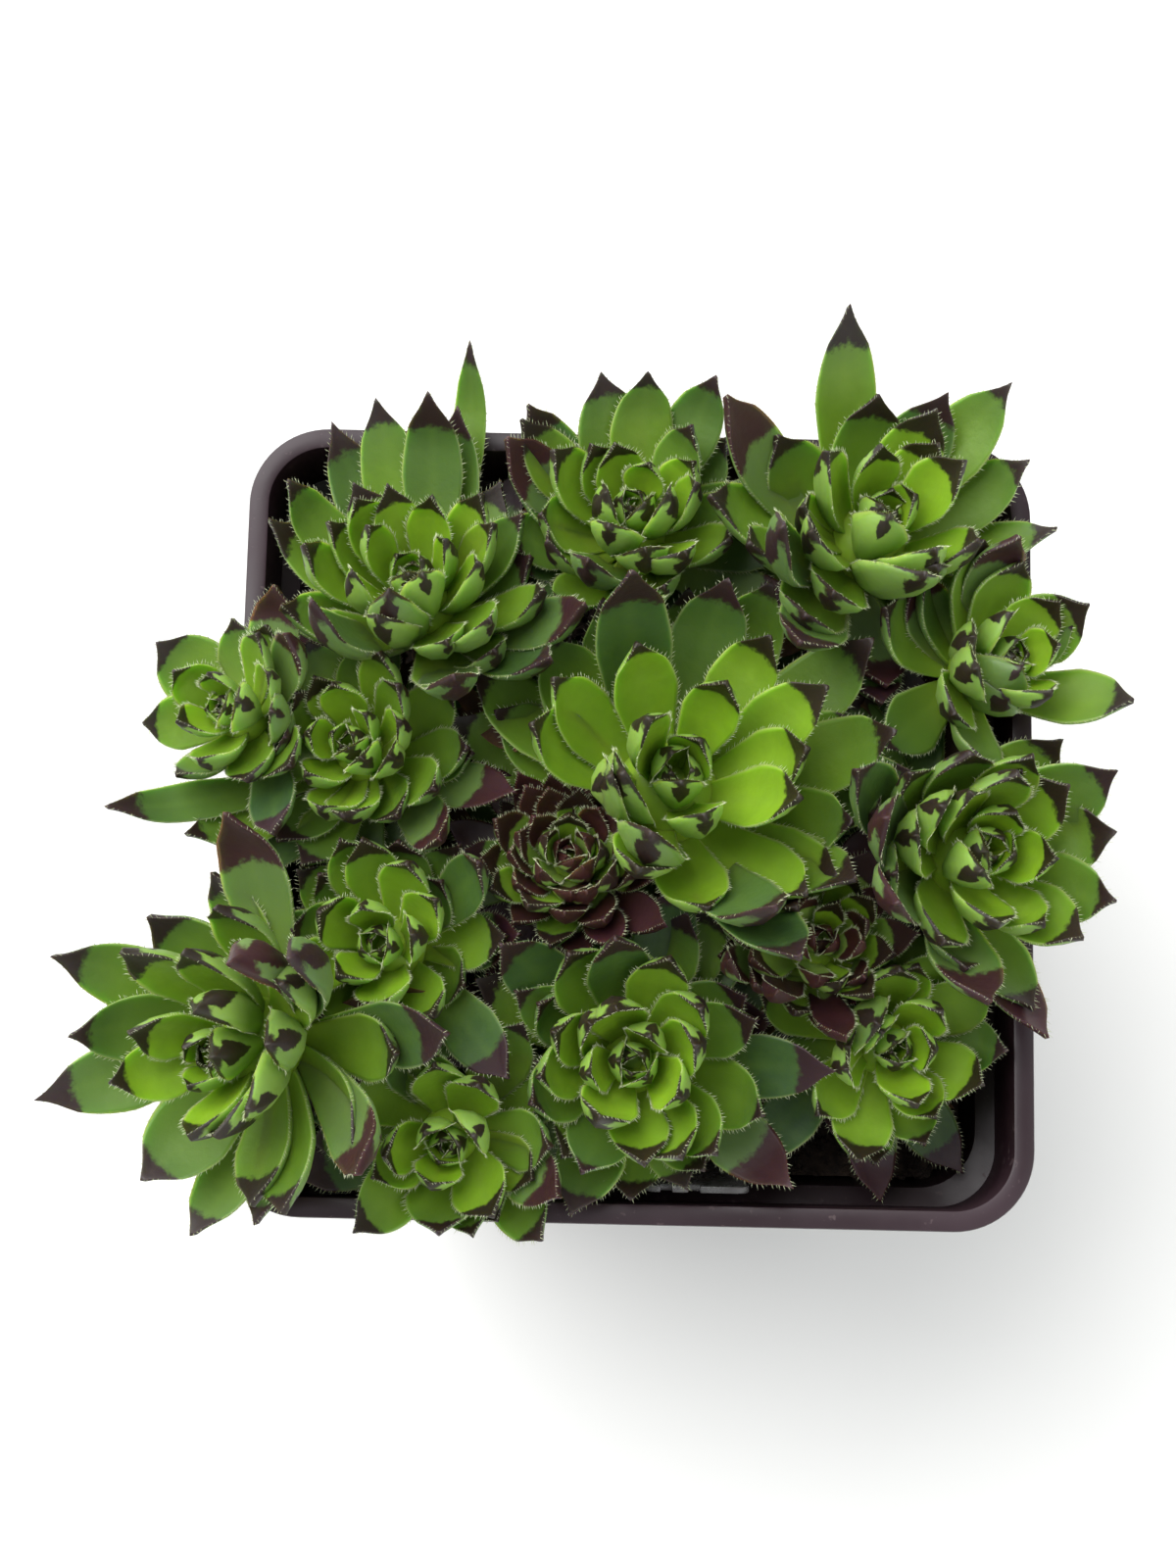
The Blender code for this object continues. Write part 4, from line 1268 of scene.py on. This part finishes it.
def leaf_place_group():
    """Group: from along, side and face to a place on the leaf, with its margin directions."""
    sockets_in = (("Along", "NodeSocketFloat", None), ("Side", "NodeSocketFloat", None),
                  ("Face", "NodeSocketFloat", None))
    sockets_out = (("Place", "NodeSocketVector"), ("Forward", "NodeSocketVector"),
                   ("Across", "NodeSocketVector"))
    group, start, end = new_group("leaf place", sockets_in, sockets_out, "GeometryNodeTree")
    along = Field(group, start.outputs["Along"])
    side = Field(group, start.outputs["Side"])
    face = Field(group, start.outputs["Face"])
    axis = named(group, "axis", "FLOAT_VECTOR")
    out = named(group, "out", "FLOAT_VECTOR")
    foot = named(group, "foot", "FLOAT_VECTOR")
    curl = named(group, "curl")
    age = named(group, "age")

    past = ((along - FINE_WIDEST_AT) / (1.0 - FINE_WIDEST_AT)).most(0.0).least(1.0)
    shoulder = (along.least(FINE_WIDEST_AT) / FINE_WIDEST_AT) ** FINE_SHOULDER_POWER
    hollow = 1.0 - past.ramp(CUSP_START, 1.0) * CUSP_HOLLOW
    outline = shoulder * (1.0 - past ** TIP_CURVE) ** named(group, "taper") * hollow
    half = named(group, "width") * 0.5 * outline
    swell = (along * ((1 - FLESH_START) * pi) + FLESH_START * pi).sine()
    thick = named(group, "thick") * (FOOT_FLESH + (1 - FOOT_FLESH) * swell)

    first = named(group, "pitch") + curl * 0.5
    here = first - curl * along
    run = named(group, "length") / curl
    flesh = face.size() ** SECTION_POWER * thick * (face.above(0.0) - (1 - FLESH_ABOVE))
    hook = along.ramp(HOOK_START, 1.0) * named(group, "length") * named(group, "hook")
    cup = side.size() ** CUP_POWER * (YOUNG_CUP - age * CUP_LOST)
    lift = half * (cup + side * named(group, "roll")) + flesh + hook
    up = run * (first.sine() - here.sine()) + lift * here.sine()
    away = run * (here.cosine() - first.cosine()) - lift * here.cosine()

    across = vector_math(group, "CROSS_PRODUCT", axis, out)
    place = vector_math(group, "ADD", foot, vector_math(group, "SCALE", axis, up))
    place = vector_math(group, "ADD", place, vector_math(group, "SCALE", out, away))
    sway = along * along * named(group, "length") * named(group, "sway")
    place = vector_math(group, "ADD", place, vector_math(group, "SCALE", across, half * side + sway))
    forward = vector_math(group, "ADD", vector_math(group, "SCALE", axis, here.cosine()),
                          vector_math(group, "SCALE", out, here.sine()))
    feed(group, end.inputs["Place"], place)
    feed(group, end.inputs["Forward"], forward)
    feed(group, end.inputs["Across"], across)
    return group


LEAF_PLACE = leaf_place_group()
print("nodes in the leaf formula:", len(LEAF_PLACE.nodes))


# %% Tree that grows a rosette
def store(tree, geometry, name, value):
    """Store a value on every point under a name."""
    node = add_node(tree, "GeometryNodeStoreNamedAttribute", data_type="FLOAT", domain="POINT")
    tree.links.new(geometry, node.inputs["Geometry"])
    node.inputs["Name"].default_value = name
    feed(tree, node.inputs["Value"], value)
    return node.outputs["Geometry"]


def on_points(tree, points, instance, **more):
    """Instance on Points node."""
    node = add_node(tree, "GeometryNodeInstanceOnPoints", more)
    tree.links.new(points, node.inputs["Points"])
    tree.links.new(instance, node.inputs["Instance"])
    return node.outputs["Instances"]


def realize(tree, geometry):
    """Turn instances into real geometry."""
    node = add_node(tree, "GeometryNodeRealizeInstances")
    tree.links.new(geometry, node.inputs["Geometry"])
    return node.outputs["Geometry"]


def set_place(tree, geometry, place):
    """Move every point to a place."""
    node = add_node(tree, "GeometryNodeSetPosition", {"Position": place})
    tree.links.new(geometry, node.inputs["Geometry"])
    return node.outputs["Geometry"]


def finish_branch(tree, geometry, material, smooth=True):
    """Shade a branch and give it its material."""
    shading = add_node(tree, "GeometryNodeSetShadeSmooth", {"Shade Smooth": smooth})
    tree.links.new(geometry, shading.inputs["Geometry"])
    paint = add_node(tree, "GeometryNodeSetMaterial")
    tree.links.new(shading.outputs["Geometry"], paint.inputs["Geometry"])
    paint.inputs["Material"].default_value = material
    return paint.outputs["Geometry"]


def random_value(tree, low, high, seed):
    """Random number for each point, from a fixed seed."""
    node = add_node(tree, "FunctionNodeRandomValue", data_type="FLOAT")
    node.inputs[2].default_value = low
    node.inputs[3].default_value = high
    node.inputs["Seed"].default_value = seed
    return Field(tree, node.outputs[1])


def surface(tree, along, side, face, output="Place"):
    """Place the leaf formula and return one of its outputs."""
    node = add_node(tree, "GeometryNodeGroup", node_tree=LEAF_PLACE)
    feed(tree, node.inputs["Along"], along)
    feed(tree, node.inputs["Side"], side)
    feed(tree, node.inputs["Face"], face)
    return Field(tree, node.outputs[output])


def leaf_branch(tree, start, material):
    """A sphere on every point, bent into its leaf."""
    ball = add_node(tree, "GeometryNodeMeshUVSphere",
                    {"Segments": Field(tree, start.outputs["Leaf Sides"]),
                     "Rings": Field(tree, start.outputs["Leaf Rings"])})
    place = add_node(tree, "GeometryNodeInputPosition")
    split = add_node(tree, "ShaderNodeSeparateXYZ")
    tree.links.new(place.outputs[0], split.inputs[0])
    x = Field(tree, split.outputs["X"])
    y = Field(tree, split.outputs["Y"])
    z = Field(tree, split.outputs["Z"])
    share = (z * -1.0).arc() / pi
    level = (x * x + y * y) ** 0.5
    wide = level.most(0.000001)
    geometry = store(tree, ball.outputs["Mesh"], "along", 0.5 * (share + (share * (pi / 2)).sine()))
    geometry = store(tree, geometry, "side", x / wide * level.above(0.001))
    geometry = store(tree, geometry, "face", y / wide * level.above(0.001))
    geometry = realize(tree, on_points(tree, start.outputs["Geometry"], geometry))
    where = surface(tree, named(tree, "along"), named(tree, "side"), named(tree, "face"))
    return finish_branch(tree, set_place(tree, geometry, where), material)


def hair_branch(tree, start, material):
    """Short cones along both margins of every leaf."""
    count = Field(tree, start.outputs["Hairs"])
    line = add_node(tree, "GeometryNodeMeshLine", {"Count": count})
    line.inputs["Offset"].default_value = (0.0, 0.0, 0.001)
    index = Field(tree, add_node(tree, "GeometryNodeInputIndex").outputs[0])
    side = index.math("MODULO", index, 2.0) * 2.0 - 1.0
    along = 0.34 + 0.655 * index / count
    geometry = store(tree, line.outputs["Mesh"], "along", along)
    geometry = store(tree, geometry, "side", side)
    geometry = store(tree, geometry, "face", 0.0)
    geometry = realize(tree, on_points(tree, start.outputs["Geometry"], geometry))
    spread = named(tree, "along") + random_value(tree, -0.008, 0.004, 3)
    geometry = set_place(tree, geometry, surface(tree, spread, named(tree, "side") * 0.98, 0.0))
    sideways = vector_math(tree, "SCALE", surface(tree, spread, 0.0, 0.0, "Across"),
                           named(tree, "side") * (1.15 - named(tree, "along")))
    ahead = vector_math(tree, "SCALE", surface(tree, spread, 0.0, 0.0, "Forward"),
                        random_value(tree, 0.15, 0.75, 4))
    upward = vector_math(tree, "SCALE", named(tree, "axis", "FLOAT_VECTOR"),
                         random_value(tree, -0.25, 0.4, 5))
    aim = vector_math(tree, "ADD", vector_math(tree, "ADD", sideways, ahead), upward)
    turn = add_node(tree, "FunctionNodeAlignRotationToVector", {"Vector": aim}, axis="Z")
    cone = add_node(tree, "GeometryNodeMeshCone", {"Vertices": 3, "Radius Top": 0.0})
    feed(tree, cone.inputs["Radius Bottom"], Field(tree, start.outputs["Hair Width"]))
    feed(tree, cone.inputs["Depth"], Field(tree, start.outputs["Hair Length"]))
    size = random_value(tree, 0.5, 1.25, 6)
    hairs = on_points(tree, geometry, cone.outputs["Mesh"], Scale=size,
                      Rotation=Field(tree, turn.outputs["Rotation"]),
                      Selection=named(tree, "dry").math("LESS_THAN", named(tree, "dry"), 0.5))
    return finish_branch(tree, realize(tree, hairs), material)


def stem_branch(tree, start, material, core_material):
    """Rough stem from the soil to the crown, with a small green egg on top."""
    line = add_node(tree, "GeometryNodeCurvePrimitiveLine",
                    {"Start": Field(tree, start.outputs["Stem Foot"]),
                     "End": Field(tree, start.outputs["Stem Top"])})
    steps = add_node(tree, "GeometryNodeResampleCurve", {"Count": 14})
    tree.links.new(line.outputs["Curve"], steps.inputs["Curve"])
    ring = add_node(tree, "GeometryNodeCurvePrimitiveCircle", {"Resolution": 12})
    feed(tree, ring.inputs["Radius"], Field(tree, start.outputs["Stem Radius"]))
    tube = add_node(tree, "GeometryNodeCurveToMesh", {"Fill Caps": True})
    tree.links.new(steps.outputs["Curve"], tube.inputs["Curve"])
    tree.links.new(ring.outputs["Curve"], tube.inputs["Profile Curve"])
    place = Field(tree, add_node(tree, "GeometryNodeInputPosition").outputs[0])
    cloud = add_node(tree, "ShaderNodeTexNoise", {"Scale": 700.0, "Vector": place})
    normal = Field(tree, add_node(tree, "GeometryNodeInputNormal").outputs[0])
    bark = vector_math(tree, "SCALE", normal, (Field(tree, cloud.outputs["Fac"]) - 0.5) * 0.0012)
    rough = set_place(tree, tube.outputs["Mesh"], vector_math(tree, "ADD", place, bark))
    egg = add_node(tree, "GeometryNodeMeshIcoSphere", {"Subdivisions": 3})
    feed(tree, egg.inputs["Radius"], Field(tree, start.outputs["Core Radius"]))
    lifted = add_node(tree, "GeometryNodeTransform",
                      {"Translation": Field(tree, start.outputs["Stem Top"])})
    tree.links.new(egg.outputs["Mesh"], lifted.inputs["Geometry"])
    both = add_node(tree, "GeometryNodeJoinGeometry")
    tree.links.new(finish_branch(tree, rough, material), both.inputs["Geometry"])
    tree.links.new(finish_branch(tree, lifted.outputs["Geometry"], core_material), both.inputs["Geometry"])
    return both.outputs["Geometry"]


def rosette_tree(leaf_finish, hair_finish, stem_finish):
    """The whole tree: leaves, hairs and stem."""
    sockets_in = (("Geometry", "NodeSocketGeometry", None), ("Leaf Rings", "NodeSocketInt", 20),
                  ("Leaf Sides", "NodeSocketInt", 12), ("Hairs", "NodeSocketInt", 64),
                  ("Hair Length", "NodeSocketFloat", 0.0008), ("Hair Width", "NodeSocketFloat", 0.00005),
                  ("Stem Foot", "NodeSocketVector", None), ("Stem Top", "NodeSocketVector", None),
                  ("Stem Radius", "NodeSocketFloat", 0.0015), ("Core Radius", "NodeSocketFloat", 0.003))
    tree, start, end = new_group("rosette", sockets_in, (("Geometry", "NodeSocketGeometry"),),
                                 "GeometryNodeTree")
    both = add_node(tree, "GeometryNodeJoinGeometry")
    for branch in (stem_branch(tree, start, stem_finish, leaf_finish),
                   hair_branch(tree, start, hair_finish), leaf_branch(tree, start, leaf_finish)):
        tree.links.new(branch, both.inputs["Geometry"])
    tree.links.new(both.outputs["Geometry"], end.inputs["Geometry"])
    return tree


def set_input(modifier, name, value):
    """Set a tree's input on a modifier by the identifier of its socket."""
    for socket in modifier.node_group.interface.items_tree:
        if socket.item_type == "SOCKET" and socket.in_out == "INPUT" and socket.name == name:
            modifier[socket.identifier] = value


print("tree functions ready")

# %% [markdown]
# A leaf's colour tells its age and its light. Young leaves are yellow-green, old ones turn
# blue-green, the back is paler, a dark purple-brown mark sits behind the point, and a thin
# pale line runs along the margin. The oldest leaves low between the heads are darker still:
# partly their age, partly painted shade. The tree left its numbers on the mesh, so the finish
# reads them straight from there: a painted texture could do this for one leaf, but not for
# three hundred that all differ.

# %% Leaf finish
def leaf_material():
    """Fleshy green leaf with a dark point, a pale margin and a paler back."""
    material, tree, shader = new_material("leaf_flesh", 0.42)
    along = attribute(tree, "along")
    side = attribute(tree, "side").size()
    face = attribute(tree, "face")
    age = attribute(tree, "age")
    tint = attribute(tree, "tint")
    patch = attribute(tree, "patch")
    dry = attribute(tree, "dry")
    cloud = place_group(tree, PATCHES, "Mask", scale=260.0, cover=0.5, softness=0.25)
    fine = place_group(tree, GRAIN, "Height", scale=1500.0)
    under = (face * -1.0).ramp(0.05, 0.45)

    green = mix(tree, age.ramp(0.1, 0.95), srgb(116, 154, 26), srgb(78, 112, 30))
    # Partly painted shade: old leaves with a high tint, the low ones between the heads, turn dark blue-green,
    # and leaves with a low tint turn a brighter yellow-green.
    green = mix(tree, tint.ramp(0.25, 0.9) * age.ramp(0.45, 1.0), green, srgb(44, 72, 38))
    green = mix(tree, (1.0 - tint) * 0.4, green, srgb(132, 164, 36))
    green = mix(tree, cloud * 0.35, green, srgb(80, 110, 26))
    green = mix(tree, (1.0 - along.ramp(0.1, 0.62)) * 0.5, green, srgb(138, 168, 50))
    green = mix(tree, under * 0.5, green, srgb(126, 152, 86))
    green = mix(tree, along.ramp(0.62, 0.95) * age.ramp(0.3, 0.9) * 0.5, green, srgb(54, 80, 46))
    rib = (1.0 - side.ramp(0.0, 0.3)) * 0.05 * (1.0 - under)
    green = mix(tree, rib, green, srgb(134, 166, 66))
    margin = side.ramp(0.91, 0.99) * along.ramp(0.1, 0.35)
    green = mix(tree, margin * 0.24, green, srgb(190, 200, 148))

    green = mix(tree, patch.ramp(*RED_PATCH) * (1.0 - age * 0.6) * 0.6, green, srgb(140, 164, 96))
    extent = patch * (1.25 - age * 0.4)
    reach = along + (fine - 0.5) * 0.08 + side * extent * 0.15
    tip_mark = reach.ramp(0.975 - extent * (1.0 - under * 0.6), 1.015 - extent * (1.0 - under * 0.6))
    past_middle = ((along - 1.0 + extent * 0.85) / (extent * 1.15)).size()
    spot = 1.0 - past_middle - side * 1.5 + (fine - 0.5) * 0.5
    mark = tip_mark.most(spot.ramp(0.0, 0.14) * under)
    red = patch.ramp(*RED_PATCH) * (1.0 - age * 0.5)
    dark = mix(tree, tint * age, srgb(28, 7, 12), srgb(46, 20, 30))
    dark = mix(tree, red * 0.8, dark, srgb(66, 14, 30))
    color = mix(tree, mark * 0.97, green, dark)
    brown = mix(tree, cloud, srgb(96, 66, 44), srgb(58, 40, 30))
    color = mix(tree, dry, color, brown)
    feed(tree, shader.inputs["Base Color"], color)
    feed(tree, shader.inputs["Roughness"], 0.4 + fine * 0.14 + dry * 0.35)
    feed(tree, shader.inputs["Normal"],
         place_group(tree, GRAIN, "Normal", scale=900.0, strength=0.22, depth=0.00025))
    shader.inputs["Subsurface Weight"].default_value = 0.45
    shader.inputs["Subsurface Radius"].default_value = (0.6, 1.0, 0.05)
    shader.inputs["Subsurface Scale"].default_value = 0.0024
    shader.inputs["Specular IOR Level"].default_value = 0.38
    return material


def hair_material():
    """Whitish hair."""
    material, tree, shader = new_material("leaf_hair", 0.6)
    tone = place_group(tree, PATCHES, "Mask", scale=400.0, cover=0.5, softness=0.3)
    feed(tree, shader.inputs["Base Color"], mix(tree, tone, srgb(214, 220, 184), srgb(176, 184, 138)))
    return material


def stem_material():
    """Corky brown stem."""
    material, tree, shader = new_material("stem_bark", 0.85)
    tone = place_group(tree, PATCHES, "Mask", scale=700.0, cover=0.5, softness=0.2)
    feed(tree, shader.inputs["Base Color"], mix(tree, tone, srgb(72, 54, 40), srgb(112, 92, 66)))
    feed(tree, shader.inputs["Normal"],
         place_group(tree, GRAIN, "Normal", scale=900.0, strength=0.5, depth=0.0004))
    return material


# %% Grow the rosettes
HAIR_LENGTH = 0.6
HAIR_WIDTH = 0.045

ROSETTE_TREE = rosette_tree(leaf_material(), hair_material(), stem_material())


def grow_rosette(head):
    """Grow one rosette from its points, hang it under the root body and hide its node."""
    rows = leaf_numbers(head, placed[head.name] + bud_leaves(head), 0.0)
    rows += leaf_numbers(head, withered_leaves(head), 1.0)
    piece = point_cloud(head.name.replace("head", "rosette"), rows)
    modifier = piece.modifiers.new("grow", "NODES")
    modifier.node_group = ROSETTE_TREE
    foot = Vector((*head.stem_foot, SOIL_TOP - STEM_DEPTH))
    set_input(modifier, "Hair Length", HAIR_LENGTH * MM)
    set_input(modifier, "Hair Width", HAIR_WIDTH * MM)
    set_input(modifier, "Stem Foot", foot * MM)
    set_input(modifier, "Stem Top", Vector(head_crown(head)) * MM)
    set_input(modifier, "Stem Radius", stem_radius(head) * MM)
    set_input(modifier, "Core Radius", head.reach * CORE_SHARE * MM)
    bake_modifiers(piece)
    for name in VECTOR_NUMBERS + PLAIN_NUMBERS:
        if name not in KEPT_NUMBERS and name in piece.data.attributes:
            piece.data.attributes.remove(piece.data.attributes[name])
    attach(piece, "root")
    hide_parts(head.name)
    return piece


for head in HEADS:
    rosette = grow_rosette(head)
    print(rosette.name, "leaves:", len(placed[head.name]), "faces:", len(rosette.data.polygons))

# %% [markdown]
# The soil is dark peat with a few pale crumbs. Its solid is right for size, but flat, so it
# keeps its place and loose crumbs are scattered over it. Points are spread on a plate just
# above the soil, and each gets a small rough ball.

# %% Soil
SOIL_HALF = 39.0
CRUMBS_A_METRE = 520000.0
PALE_CRUMBS_A_METRE = 26000.0


def peat_material(name, first, second):
    """Crumbly dark soil."""
    material, tree, shader = new_material(name, 0.92)
    tone = place_group(tree, PATCHES, "Mask", scale=900.0, cover=0.5, softness=0.25)
    feed(tree, shader.inputs["Base Color"], mix(tree, tone, first, second))
    feed(tree, shader.inputs["Normal"],
         place_group(tree, GRAIN, "Normal", scale=1400.0, strength=0.8, depth=0.0006))
    return material


def crumb_layer(tree, start, density, low, high, seed, material):
    """Rough balls scattered over the plate."""
    spread = add_node(tree, "GeometryNodeDistributePointsOnFaces", {"Density": density, "Seed": seed})
    tree.links.new(start.outputs["Geometry"], spread.inputs["Mesh"])
    ball = add_node(tree, "GeometryNodeMeshIcoSphere", {"Radius": 0.001, "Subdivisions": 1})
    size = random_value(tree, low, high, seed + 1)
    turn = random_value(tree, 0.0, 6.28, seed + 2)
    spin = add_node(tree, "ShaderNodeCombineXYZ", {"X": turn, "Y": turn * 1.7, "Z": turn * 2.3})
    crumbs = realize(tree, on_points(tree, spread.outputs["Points"], ball.outputs["Mesh"], Scale=size,
                                     Rotation=Field(tree, spin.outputs[0])))
    place = Field(tree, add_node(tree, "GeometryNodeInputPosition").outputs[0])
    cloud = add_node(tree, "ShaderNodeTexNoise", {"Scale": 900.0, "Vector": place})
    shift = vector_math(tree, "SUBTRACT", Field(tree, cloud.outputs["Color"]), (0.5, 0.5, 0.5))
    rough = vector_math(tree, "ADD", place, vector_math(tree, "SCALE", shift, 0.0018))
    return finish_branch(tree, set_place(tree, crumbs, rough), material, smooth=False)


def crumbs_tree(dark, pale):
    """Tree of dark and pale crumbs."""
    sockets_in = (("Geometry", "NodeSocketGeometry", None), ("Density", "NodeSocketFloat", 1.0),
                  ("Pale Density", "NodeSocketFloat", 1.0))
    tree, start, end = new_group("crumbs", sockets_in, (("Geometry", "NodeSocketGeometry"),),
                                 "GeometryNodeTree")
    both = add_node(tree, "GeometryNodeJoinGeometry")
    layers = (crumb_layer(tree, start, Field(tree, start.outputs["Density"]), 0.35, 1.1, 11, dark),
              crumb_layer(tree, start, Field(tree, start.outputs["Pale Density"]), 0.4, 0.9, 21, pale))
    for layer in layers:
        tree.links.new(layer, both.inputs["Geometry"])
    tree.links.new(both.outputs["Geometry"], end.inputs["Geometry"])
    return tree


def make_crumbs():
    """Loose top layer of the soil."""
    bm = bmesh.new()
    corners = [bm.verts.new((x * SOIL_HALF * MM, y * SOIL_HALF * MM, (SOIL_TOP + 0.2) * MM))
               for x, y in ((-1, -1), (1, -1), (1, 1), (-1, 1))]
    bm.faces.new(corners)
    crumbs = from_bmesh("soil_crumbs", bm)
    modifier = crumbs.modifiers.new("scatter", "NODES")
    modifier.node_group = crumbs_tree(peat, peat_material("pale_crumb", srgb(150, 138, 120), srgb(112, 98, 80)))
    set_input(modifier, "Density", CRUMBS_A_METRE)
    set_input(modifier, "Pale Density", PALE_CRUMBS_A_METRE)
    bake_modifiers(crumbs)
    return crumbs


peat = peat_material("peat", srgb(30, 23, 19), srgb(58, 44, 34))
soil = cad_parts["soil"]
for material_slot in soil.material_slots:
    material_slot.material = peat
crumbs = make_crumbs()
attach(crumbs, "root")
print("crumb faces:", len(crumbs.data.polygons))
